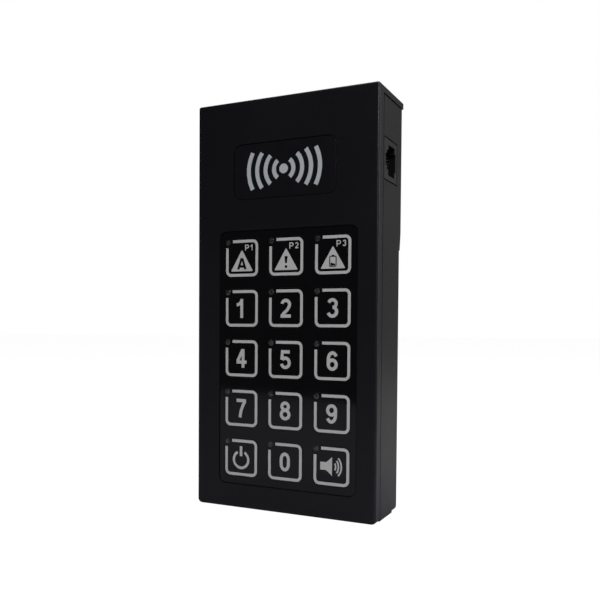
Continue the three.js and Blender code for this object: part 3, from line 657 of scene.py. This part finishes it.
# ------------------------------------------------------------------ node trees
class Tree:
    """A Geometry Nodes tree with named inputs, ending in Realize Instances and Set Material."""

    def __init__(self, name, **floats):
        self.tree = bpy.data.node_groups.new(name, "GeometryNodeTree")
        sockets = self.tree.interface
        sockets.new_socket(name="Source", in_out="INPUT", socket_type="NodeSocketGeometry")
        for label, value in floats.items():
            kind = "NodeSocketInt" if isinstance(value, int) else "NodeSocketFloat"
            made = sockets.new_socket(name=label, in_out="INPUT", socket_type=kind)
            made.default_value = value
        sockets.new_socket(name="Material", in_out="INPUT", socket_type="NodeSocketMaterial")
        sockets.new_socket(name="Made", in_out="OUTPUT", socket_type="NodeSocketGeometry")
        self.given = self.node("NodeGroupInput").outputs

    def node(self, kind, settings=None, **inputs):
        return add_node(self.tree, kind, settings, **inputs)

    def sweep(self, path, section):
        """A section run along a path, with its ends closed."""
        kind = "GeometryNodeCurveToMesh"
        return self.node(kind, Curve=path, Profile_Curve=section, Fill_Caps=True).outputs[0]

    def smooth(self, mesh):
        """A mesh shaded smooth."""
        return self.node("GeometryNodeSetShadeSmooth", Geometry=mesh, Shade_Smooth=True).outputs[0]

    def end(self, geometry):
        """Realizes the instances, sets the material and closes the tree."""
        real = self.node("GeometryNodeRealizeInstances", Geometry=geometry).outputs[0]
        material = self.given["Material"]
        coloured = self.node("GeometryNodeSetMaterial", Geometry=real, Material=material)
        self.node("NodeGroupOutput", Made=coloured.outputs[0])

    def grow(self, source, **values):
        """The plain mesh that the tree makes from a source mesh."""
        carrier = bpy.data.objects.new("carrier", source)
        modifier = carrier.modifiers.new(self.tree.name, "NODES")
        modifier.node_group = self.tree
        for item in self.tree.interface.items_tree:
            if item.in_out == "INPUT" and item.name in values:
                modifier[item.identifier] = values[item.name]
        return plain_mesh(carrier)


def line_tree():
    """Sweeps a flat ribbon of ink along each path."""
    tree = Tree("printed_line", Width=1.0, Height=0.01)
    path = tree.node("GeometryNodeMeshToCurve", Mesh=tree.given["Source"])
    flat = tree.node("GeometryNodeSetCurveNormal", {"mode": "Z_UP"}, Curve=path.outputs[0])
    ribbon = tree.node(
        "GeometryNodeCurvePrimitiveQuadrilateral",
        Width=tree.given["Width"],
        Height=tree.given["Height"],
    )
    tree.end(tree.sweep(flat.outputs[0], ribbon.outputs[0]))
    return tree


WINDOW_RISE = 0.11


def window_tree():
    """Sets a shallow domed lens on each point."""
    tree = Tree("indicator_window", Diameter=1.9, Rise=WINDOW_RISE)
    halving = tree.node("ShaderNodeMath", {"operation": "MULTIPLY"})
    feed(tree.tree, halving.inputs[0], tree.given["Diameter"])
    feed(tree.tree, halving.inputs[1], 0.5)
    half = halving.outputs[0]
    size = tree.node("ShaderNodeCombineXYZ", X=half, Y=half, Z=tree.given["Rise"])
    ball = tree.node("GeometryNodeMeshUVSphere", Segments=28, Rings=10, Radius=1.0)
    spread = tree.node(
        "GeometryNodeInstanceOnPoints",
        Points=tree.given["Source"],
        Instance=tree.smooth(ball.outputs["Mesh"]),
        Scale=size.outputs[0],
    )
    tree.end(spread.outputs[0])
    return tree


SPRING_SIZES = {"Turns": 3.5, "Base": 3.4, "Tip": 2.0, "Height": 3.6, "Wire": 0.35}


def spring_tree():
    """Winds a conical contact spring of round wire."""
    tree = Tree("contact_spring", **SPRING_SIZES)
    helix = tree.node(
        "GeometryNodeCurveSpiral",
        Resolution=28,
        Rotations=tree.given["Turns"],
        Start_Radius=tree.given["Base"],
        End_Radius=tree.given["Tip"],
        Height=tree.given["Height"],
    )
    wire = tree.given["Wire"]
    section = tree.node("GeometryNodeCurvePrimitiveCircle", Resolution=12, Radius=wire)
    tree.end(tree.smooth(tree.sweep(helix.outputs[0], section.outputs[0])))
    return tree


# ------------------------------------------------------------------ legends, in millimetres
DIGIT_HEIGHT = 6.5
DIGIT_LINE = 1.12
DIGIT_SPREAD = 0.87
LABEL_HEIGHT = 2.05
LABEL_LINE = 0.35
LABEL_LEVEL = 3.6
LABEL_LETTER, LABEL_DIGIT = 2.0, 3.95
RING_LINE, BAR_LINE, BAR_LIFT = 0.9, 1.0, 0.003
WAVE_LINE = 0.55
LETTER_LINE = 0.85
BATTERY_LINE = 0.34
BADGE_LINE, BADGE_DOT = 1.5, 1.6
BADGE_WAVES = ((3.6, 52), (6.8, 44), (10.0, 36), (13.2, 28))


def turned_round(chains):
    """Lines turned half round their own centre."""
    return [([(-x, -y) for x, y in chain], loop) for chain, loop in chains]


def digit_lines():
    """The middle line of each digit's strokes, round its own centre. Loops are marked True."""
    six = [
        (arc(0.05, -1.16, 1.58, 1.47, 0, 360, 28)[:-1], True),
        (arc(0.15, 0.55, 1.68, 2.08, 28, 180, 18) + [(-1.53, -1.1)], False),
    ]
    return {
        "0": [(arc(0, 0.7, 1.56, 1.93, 180, 0, 18) + arc(0, -0.7, 1.56, 1.93, 0, -180, 18), True)],
        "1": [
            ([(0, 3.25), (0, -3.25)], False),
            (arc(-2.35, 3.6, 2.5, 2.35, -18, -88, 10), False),
        ],
        "2": [
            (
                arc(0, 1.2, 1.62, 1.43, 168, -32, 20)
                + [(0.6, -0.65), (-0.9, -1.75), (-1.5, -2.55)],
                False,
            ),
            ([(-2.2, -2.63), (2.2, -2.63)], False),
        ],
        "3": [
            (arc(-0.05, 1.4, 1.52, 1.24, 162, -88, 20), False),
            (arc(-0.05, -1.2, 1.7, 1.43, 86, -166, 22), False),
        ],
        "4": [
            ([(0.72, 3.25), (0.72, -3.25)], False),
            ([(-2.25, -1.3), (2.3, -1.3)], False),
            ([(0.5, 2.95), (-1.75, -1.0)], False),
        ],
        "5": [
            ([(-1.6, 2.63), (1.85, 2.63)], False),
            ([(-1.22, 3.2), (-1.6, -0.05)], False),
            (arc(-0.05, -1.05, 1.68, 1.58, 142, -166, 24), False),
        ],
        "6": six,
        "7": [
            ([(-2.15, 2.63), (2.15, 2.63)], False),
            ([(1.75, 2.4), (0.75, 1.0), (0.05, -0.6), (-0.35, -2.0), (-0.5, -3.25)], False),
        ],
        "8": [
            (arc(0, 1.45, 1.4, 1.18, 0, 360, 26)[:-1], True),
            (arc(0, -1.22, 1.66, 1.41, 0, 360, 28)[:-1], True),
        ],
        "9": turned_round(six),
    }


def drawn_in(chains):
    """Lines drawn in sideways, because the digits' own are a little wide."""
    return [([(x * DIGIT_SPREAD, y) for x, y in chain], loop) for chain, loop in chains]


def key_frame_line(half, bend, gap):
    """The line round a key, open at the corner where its indicator sits."""
    inner = half - bend
    line = [(-half + gap, half)]
    line += arc(inner, inner, bend, bend, 90, 0, 8)
    line += arc(inner, -inner, bend, bend, 0, -90, 8)
    line += arc(-inner, -inner, bend, bend, -90, -180, 8)
    line.append((-half, half - gap))
    return [(line, False)]


def moved(chains, x, y, size=1.0):
    """Lines resized round their own centre and set down at x and y."""
    return [([(x + a * size, y + b * size) for a, b in chain], loop) for chain, loop in chains]


# ------------------------------------------------------------------ operators
# Widths of broken edges, in metres, and the film's own sizes, in millimetres.
BADGE_EDGE, SOCKET_EDGE, CELL_EDGE, METAL_EDGE = 0.1 * MM, 0.12 * MM, 0.15 * MM, 0.08 * MM
FILM_LIP = 0.02
PUSHER_RADIUS, PUSHER_LIP, PUSHER_OVERLAP = 2.4, 0.15, 0.1


class PAGER_OT_stage(bpy.types.Operator):
    """Sets the pale floor, the soft lights and the camera"""

    bl_idname = "pager.stage"
    bl_label = "Stage"

    def execute(self, context):
        stage = context.scene.pager_stage
        self.floor(stage)
        self.sky(context.scene)
        self.lights(stage)
        self.camera(context.scene, stage)
        context.scene.view_settings.view_transform = "Standard"
        return {"FINISHED"}

    def floor(self, stage):
        size, edge = stage.floor, stage.floor_edge
        corners = [(-size, -edge, 0), (size, -edge, 0), (size, size, 0), (-size, size, 0)]
        mesh = bpy.data.meshes.new("floor")
        mesh.from_pydata(corners, [], [(0, 1, 2, 3)])
        mesh.transform(Matrix.Rotation(stage.floor_turn, 4, "Z"))
        floor = bpy.data.objects.new("floor", mesh)
        bpy.context.scene.collection.objects.link(floor)
        paint(mesh, self.floor_finish())

    def floor_finish(self):
        """Pale paper to look at. The pager mirrors it dim before the keypad and paler behind."""
        finish = Finish("floor_paper", Specular_IOR_Level=0.1, Roughness=0.9)
        finish.colour(finish.blend(finish.noise(30 * MM, 3), (0.1, 0.1, 0.1), (0.13, 0.13, 0.13)))
        tree = finish.tree
        seen = finish.node("ShaderNodeLightPath").outputs["Is Camera Ray"]
        glow = finish.node("ShaderNodeEmission", Color=(1, 1, 1, 1), Strength=0.97)
        behind = finish.span(finish.axes()["Y"], -0.05, 0.07, 0, 1)
        mirrored = finish.blend(behind, (0.25, 0.245, 0.285), (0.5, 0.5, 0.51))
        dim = finish.node("ShaderNodeBsdfDiffuse", Color=mirrored)
        lit = finish.node("ShaderNodeAddShader")
        tree.links.new(finish.shader.outputs[0], lit.inputs[0])
        tree.links.new(glow.outputs[0], lit.inputs[1])
        either = finish.node("ShaderNodeMixShader", Fac=seen)
        tree.links.new(dim.outputs[0], either.inputs[1])
        tree.links.new(lit.outputs[0], either.inputs[2])
        tree.links.new(either.outputs[0], tree.nodes["Material Output"].inputs["Surface"])
        return finish.material

    def sky(self, scene):
        """White to look at, and otherwise bright behind the keypad and dim before it."""
        world = bpy.data.worlds.new("studio")
        scene.world = world
        world.use_nodes = True
        tree = world.node_tree
        seen = add_node(tree, "ShaderNodeLightPath").outputs["Is Camera Ray"]
        way = add_node(tree, "ShaderNodeTexCoord").outputs["Generated"]
        fade = add_node(
            tree,
            "ShaderNodeMapRange",
            {"interpolation_type": "SMOOTHSTEP"},
            Value=add_node(tree, "ShaderNodeSeparateXYZ", Vector=way).outputs["Y"],
            From_Min=-0.35,
            From_Max=0.55,
            To_Min=0.033,
            To_Max=0.115,
        )
        strength = add_node(tree, "ShaderNodeMix", Factor=seen, A=fade.outputs[0], B=1.0)
        background = tree.nodes["Background"]
        feed(tree, background.inputs["Strength"], strength.outputs["Result"])
        feed(tree, background.inputs["Color"], (1, 1, 1, 1))

    def lights(self, stage):
        target = Vector((0, 0, CAD_BOX[1][2] / 2))
        for name, place, size, power in (
            ("key_light", (0.55, -0.62, 0.62), 0.3, stage.key_power),
            ("side_light", (0.75, 0.55, 0.25), 0.5, stage.side_power),
            ("top_light", (0.05, 0.1, 1.0), 0.7, stage.top_power),
        ):
            data = bpy.data.lights.new(name, "AREA")
            data.size = size
            data.energy = power
            lamp = bpy.data.objects.new(name, data)
            lamp.location = place
            lamp.rotation_euler = (target - lamp.location).to_track_quat("-Z", "Y").to_euler()
            bpy.context.scene.collection.objects.link(lamp)

    def camera(self, scene, stage):
        data = bpy.data.cameras.new("camera")
        data.sensor_width = 36
        data.lens = stage.lens
        data.shift_x, data.shift_y = stage.shift
        data.clip_start = 0.01
        camera = bpy.data.objects.new("camera", data)
        look_up, lean, side = stage.camera_turn
        camera.matrix_world = (
            Matrix.Translation(stage.camera_place)
            @ Matrix.Rotation(side, 4, "Z")
            @ Matrix.Rotation(math.pi / 2 + look_up, 4, "X")
            @ Matrix.Rotation(lean, 4, "Z")
        )
        scene.collection.objects.link(camera)
        scene.camera = camera


class PAGER_OT_shells(bpy.types.Operator):
    """Finishes the two shells, the battery door and the badge's film"""

    bl_idname = "pager.shells"
    bl_label = "Shells and door"

    def execute(self, context):
        case = context.scene.pager_case
        plastic = case_plastic(case)
        for node, name, body in (
            ("front_cover", "front_shell", "case"),
            ("rear_cover", "rear_shell", "case"),
            ("battery_door", "door_shell", "door"),
        ):
            shell = eased(node, case.edge, merged=node != "battery_door")
            show(paint(shell, plastic), name, body, [node])
        badge = paint(eased("badge_plate", BADGE_EDGE), badge_film())
        show(badge, "badge_panel", "case", ["badge_plate"])
        return {"FINISHED"}


class PAGER_OT_film(bpy.types.Operator):
    """Lays the glossy film and its pressed zones, each with a pusher behind it"""

    bl_idname = "pager.film"
    bl_label = "Keypad film"

    def execute(self, context):
        film = context.scene.pager_film
        gloss = gloss_film(film)
        low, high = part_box("keypad_overlay")
        thickness = (high.y - low.y) / MM
        outlines = [self.outline("keypad_overlay", 0, film.corner)]
        outlines += [self.zone_outline(key, film, film.seam) for key in KEYS]
        turn = Matrix.Translation((0, high.y, 0)) @ UPRIGHT
        film_mesh = closed([sheet(outlines, thickness, FILM_LIP)], turn)
        show(paint(film_mesh, gloss), "film_sheet", "case", ["keypad_overlay"])
        for key in KEYS:
            zone = sheet([self.zone_outline(key, film, 0)], thickness, FILM_LIP)
            mesh = closed([zone, self.pusher(key, thickness)], turn)
            show(paint(mesh, gloss), key.replace("key_", "zone_"), key, [key])
        return {"FINISHED"}

    def outline(self, node, grow, corner):
        """A frame node's outline from the front, grown and with rounded corners."""
        low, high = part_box(node)
        centre = (low + high) / 2
        half_x = (high.x - low.x) / 2 + grow
        half_z = (high.z - low.z) / 2 + grow
        return rounded(centre.x / MM, centre.z / MM, half_x / MM, half_z / MM, corner / MM)

    def zone_outline(self, key, film, gap):
        return self.outline(key, film.zone_grow + gap, film.zone_corner + gap)

    def pusher(self, key, thickness):
        """The pad behind a zone that reaches its dome, down to the frame key's full depth."""
        low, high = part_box(key)
        centre = middle(key)
        depth = (high.y - low.y) / MM - thickness
        disc = arc(centre.x / MM, centre.z / MM, PUSHER_RADIUS, PUSHER_RADIUS, 0, 360, 32)[:-1]
        pad = sheet([disc], depth + PUSHER_OVERLAP, PUSHER_LIP)
        pad.transform(Matrix.Translation((0, 0, -depth)))
        return pad


class PAGER_OT_legends(bpy.types.Operator):
    """Prints the key lines, digits, signs and indicator windows"""

    bl_idname = "pager.legends"
    bl_label = "Legends"

    def execute(self, context):
        prints = context.scene.pager_prints
        film = context.scene.pager_film
        self.lines = line_tree()
        self.windows = window_tree()
        self.pale = ink("legend_ink", prints.colour, 0.42)
        self.dark = ink("knockout_ink", scaled(film.colour, 1.2), 0.2)
        self.tint = window_tint()
        self.height = prints.ink / MM
        self.digits = {digit: drawn_in(chains) for digit, chains in digit_lines().items()}
        for key in KEYS:
            self.print_key(key, prints, film)
        return {"FINISHED"}

    def ribbon(self, chains, width, level=0.0):
        """Lines of ink, at a level above the film."""
        sizes = {"Width": width, "Height": self.height}
        mesh = self.lines.grow(path_mesh(chains), Material=self.pale, **sizes)
        mesh.transform(Matrix.Translation((0, 0, level)))
        return mesh

    def patch(self, outline, level=0.0):
        """A filled shape of ink, at a level above the film."""
        mesh = sheet([outline], self.height)
        mesh.transform(Matrix.Translation((0, 0, level)))
        return mesh

    def print_key(self, key, prints, film):
        low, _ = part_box(key)
        centre = middle(key)
        turn = Matrix.Translation((centre.x, low.y, centre.z)) @ UPRIGHT
        label = key.replace("key_", "")
        frame_line = key_frame_line(prints.half / MM, prints.bend / MM, prints.gap / MM)
        pale = [self.ribbon(frame_line, prints.line / MM)]
        dark = []
        if label.isdigit():
            pale.append(self.ribbon(self.digits[label], DIGIT_LINE))
        elif label == "power":
            pale += self.power_sign()
        elif label == "sound":
            pale += self.sound_sign()
        else:
            pale += self.page_sign(label[1])
            knockouts = {"1": self.cut_letter, "2": self.cut_mark, "3": self.cut_battery}
            dark = knockouts[label[1]]()
        mesh = paint(closed(pale, turn), self.pale)
        show(mesh, "print_" + label, key)
        if dark:
            show(paint(closed(dark, turn), self.dark), "knockout_" + label, key)
        self.window(label, key, low.y, film)

    def window(self, label, key, front, film):
        lamp = middle("led_" + label)
        point = bpy.data.meshes.new("point")
        point.from_pydata([(0, 0, 0)], [], [])
        sizes = {"Diameter": film.window / MM, "Rise": WINDOW_RISE}
        lens = self.windows.grow(point, Material=self.tint, **sizes)
        lens.transform(Matrix.Translation((lamp.x, front, lamp.z)) @ UPRIGHT)
        show(lens, "window_" + label, key)

    def power_sign(self):
        """A broken ring with a bar in its gap."""
        ring = [(arc(0, -0.7, 2.85, 2.85, 62, -242, 40), False)]
        bar = [([(0, 4.0), (0, 0.5)], False)]
        return [self.ribbon(ring, RING_LINE), self.ribbon(bar, BAR_LINE, BAR_LIFT)]

    def sound_sign(self):
        """A horn and three waves."""
        horn = [(-3.9, 1.3), (-3.9, -1.3), (-1.75, -1.3), (0.3, -3.05), (0.3, 3.05), (-1.75, 1.3)]
        waves = [
            (arc(-0.9, 0, radius, radius, -spread, spread), False)
            for radius, spread in ((2.45, 27), (3.45, 36), (4.45, 41))
        ]
        return [self.patch(horn), self.ribbon(waves, WAVE_LINE)]

    def page_sign(self, number):
        """A triangle, and the short label above its right side."""
        base, top, half, bend = -4.5, 2.9, 4.2, 0.22
        triangle = (
            arc(half - bend, base + bend, bend, bend, -90, 30, 5)
            + arc(0, top - 2 * bend, bend, bend, 30, 150, 5)
            + arc(-half + bend, base + bend, bend, bend, 150, 270, 5)
        )
        size = LABEL_HEIGHT / DIGIT_HEIGHT
        stem = [(-0.62, 1.02), (-0.62, -1.02)]
        bowl = [(-0.62, 0.84)] + arc(0.08, 0.34, 0.5, 0.5, 90, -90, 10) + [(-0.62, -0.16)]
        letter = moved([(stem, False), (bowl, False)], LABEL_LETTER, LABEL_LEVEL)
        digit = moved(self.digits[number], LABEL_DIGIT, LABEL_LEVEL, size)
        return [
            self.patch(triangle),
            self.ribbon(letter, LABEL_LINE),
            self.ribbon(digit, DIGIT_LINE * size),
        ]

    def cut_letter(self):
        """The triangle's letter, in the film's own black."""
        legs = [([(-1.42, -3.8), (-0.12, 0.0)], False), ([(1.42, -3.8), (0.12, 0.0)], False)]
        bar = [([(-0.9, -2.8), (0.9, -2.8)], False)]
        return [self.ribbon(legs + bar, LETTER_LINE, self.height)]

    def cut_mark(self):
        """The triangle's exclamation mark."""
        wedge = [(-0.6, 0.15), (-0.34, -2.2), (0.34, -2.2), (0.6, 0.15)]
        dot = arc(0, -3.35, 0.47, 0.47, 0, 360, 24)[:-1]
        return [self.patch(wedge, self.height), self.patch(dot, self.height)]

    def cut_battery(self):
        """The triangle's battery."""
        outline = [(rounded(0, -2.15, 1.1, 1.6, 0.3, 4), True)]
        cap = [(-0.5, -0.6), (-0.5, -0.1), (0.5, -0.1), (0.5, -0.6)]
        charge = [(-0.8, -3.5), (0.8, -3.5), (0.8, -2.95), (-0.8, -2.55)]
        return [
            self.ribbon(outline, BATTERY_LINE, self.height),
            self.patch(cap, self.height),
            self.patch(charge, self.height),
        ]


class PAGER_OT_badge(bpy.types.Operator):
    """Prints a plain radio-wave sign on the badge"""

    bl_idname = "pager.badge"
    bl_label = "Badge sign"

    def execute(self, context):
        prints = context.scene.pager_prints
        pale = ink("badge_ink", prints.badge_colour, 0.4)
        low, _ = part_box("badge_plate")
        centre = middle("badge_plate")
        waves = []
        for radius, spread in BADGE_WAVES:
            waves.append((arc(0, 0, radius, radius, -spread, spread, 20), False))
            waves.append((arc(0, 0, radius, radius, 180 - spread, 180 + spread, 20), False))
        height = prints.ink / MM
        sizes = {"Width": BADGE_LINE, "Height": height}
        ribbons = line_tree().grow(path_mesh(waves), Material=pale, **sizes)
        dot = sheet([arc(0, 0, BADGE_DOT, BADGE_DOT, 0, 360, 32)[:-1]], height)
        turn = Matrix.Translation((centre.x, low.y, centre.z)) @ UPRIGHT
        show(paint(closed([ribbons, dot], turn), pale), "badge_sign", "case")
        return {"FINISHED"}


class PAGER_OT_socket(bpy.types.Operator):
    """Finishes the modular socket and its wires"""

    bl_idname = "pager.socket"
    bl_label = "Modular socket"

    def execute(self, context):
        housing = paint(eased("jack_housing", SOCKET_EDGE), socket_plastic())
        show(housing, "socket_housing", "case", ["jack_housing"])
        # Gold contacts painted dark brown: painted shade for the shadow deep inside the socket.
        shaded_gold = plated("contact_bronze", (0.1, 0.072, 0.036), (0.06, 0.042, 0.022), 0.34)
        cover_node("jack_contacts", shaded_gold)
        return {"FINISHED"}


class PAGER_OT_battery(bpy.types.Operator):
    """Finishes the cells, the contact springs and the contact strips"""

    bl_idname = "pager.battery"
    bl_label = "Battery bay"

    def execute(self, context):
        wire = plated("spring_wire", (0.62, 0.62, 0.6), (0.42, 0.42, 0.41), 0.24, 0.5 * MM)
        strip = plated("contact_strip", (0.66, 0.65, 0.6), (0.5, 0.49, 0.45), 0.3)
        for node in CELLS:
            mesh = paint(eased(node, CELL_EDGE), cell_sleeve(node))
            show(mesh, node.replace("battery_", "sleeved_"), "case", [node])
        tree = spring_tree()
        for node, cell in zip(SPRINGS, CELLS):
            self.spring(tree, node, cell, wire)
        for node in ("contact_strip_top", "contact_strip_bottom"):
            mesh = paint(eased(node, METAL_EDGE), strip)
            show(mesh, node.replace("contact_", "bay_"), "case", [node])
        return {"FINISHED"}

    def spring(self, tree, node, cell, wire):
        """The wide end sits on the bay's end wall, and the narrow end meets the cell."""
        low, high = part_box(node)
        radius = SPRING_SIZES["Wire"]
        sizes = dict(SPRING_SIZES, Height=(high.z - low.z) / MM - 2 * radius)
        mesh = tree.grow(bpy.data.meshes.new("empty"), Material=wire, **sizes)
        centre, against = middle(node), middle(cell)
        if centre.z < against.z:
            place = Matrix.Translation((centre.x, against.y, low.z + radius * MM))
        else:
            flip = Matrix.Rotation(math.pi, 4, "X")
            place = Matrix.Translation((centre.x, against.y, high.z - radius * MM)) @ flip
        mesh.transform(place @ Matrix.Scale(MM, 4))
        show(mesh, node.replace("battery_", "wound_"), "case", [node])


def cover_node(node, material):
    """Gives a frame node, whose shape is right as it is, its finish."""
    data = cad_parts[node].data
    data.materials.clear()
    data.materials.append(material)


class PAGER_OT_insides(bpy.types.Operator):
    """Finishes the screws, the board and the parts on it"""

    bl_idname = "pager.insides"
    bl_label = "Screws and board"

    def execute(self, context):
        steel = plated("screw_steel", (0.3, 0.3, 0.31), (0.2, 0.2, 0.21), 0.34, 0.5 * MM)
        for node in CASE_SCREWS:
            mesh = paint(eased(node, METAL_EDGE), steel)
            show(mesh, node.replace("case_", "rear_"), "case", [node])
        for node in BOARD_SCREWS:
            cover_node(node, steel)
        cover_node("main_board", board_finish())
        tin = plated("tin_can", (0.6, 0.6, 0.58), (0.45, 0.45, 0.44), 0.32)
        cover_node("radio_module", tin)
        copper = plated("copper_wire", (0.7, 0.34, 0.16), (0.55, 0.25, 0.11), 0.26)
        cover_node("antenna_coil", copper)
        black = moulded("black_parts", (0.014, 0.014, 0.014), (0.008, 0.008, 0.008), 0.42)
        cover_node("controller_chip", black)
        cover_node("buzzer", black)
        cover_node("dome_sheet", moulded("dome_film", (0.5, 0.48, 0.4), (0.38, 0.36, 0.3), 0.3))
        lens = moulded("indicator_lens", (0.2, 0.12, 0.07), (0.12, 0.07, 0.04), 0.2)
        for node in LAMPS:
            cover_node(node, lens)
        return {"FINISHED"}


class PAGER_PT_panel(bpy.types.Panel):
    """Shows the pager's settings and building steps in the sidebar"""

    bl_idname = "PAGER_PT_panel"
    bl_label = "Pager"
    bl_space_type = "VIEW_3D"
    bl_region_type = "UI"
    bl_category = "Pager"

    def draw(self, context):
        scene = context.scene
        for setting in SETTINGS:
            group = getattr(scene, setting)
            box = self.layout.box()
            for name in group.__annotations__:
                box.prop(group, name)
        for operator in OPERATORS:
            self.layout.operator(operator.bl_idname)


SETTINGS = {
    "pager_case": CaseSettings,
    "pager_film": FilmSettings,
    "pager_prints": PrintSettings,
    "pager_stage": StageSettings,
}
OPERATORS = (
    PAGER_OT_stage,
    PAGER_OT_shells,
    PAGER_OT_film,
    PAGER_OT_legends,
    PAGER_OT_badge,
    PAGER_OT_socket,
    PAGER_OT_battery,
    PAGER_OT_insides,
)
CLASSES = (*SETTINGS.values(), *OPERATORS, PAGER_PT_panel)


def register():
    for kind in CLASSES:
        bpy.utils.register_class(kind)
    for name, kind in SETTINGS.items():
        setattr(bpy.types.Scene, name, PointerProperty(type=kind))


def unregister():
    for name in SETTINGS:
        delattr(bpy.types.Scene, name)
    for kind in reversed(CLASSES):
        bpy.utils.unregister_class(kind)


def main():
    register()
    bpy.ops.pager.stage()
    bpy.ops.pager.shells()
    bpy.ops.pager.film()
    bpy.ops.pager.legends()
    bpy.ops.pager.badge()
    bpy.ops.pager.socket()
    bpy.ops.pager.battery()
    bpy.ops.pager.insides()


if __name__ == "__main__":
    main()
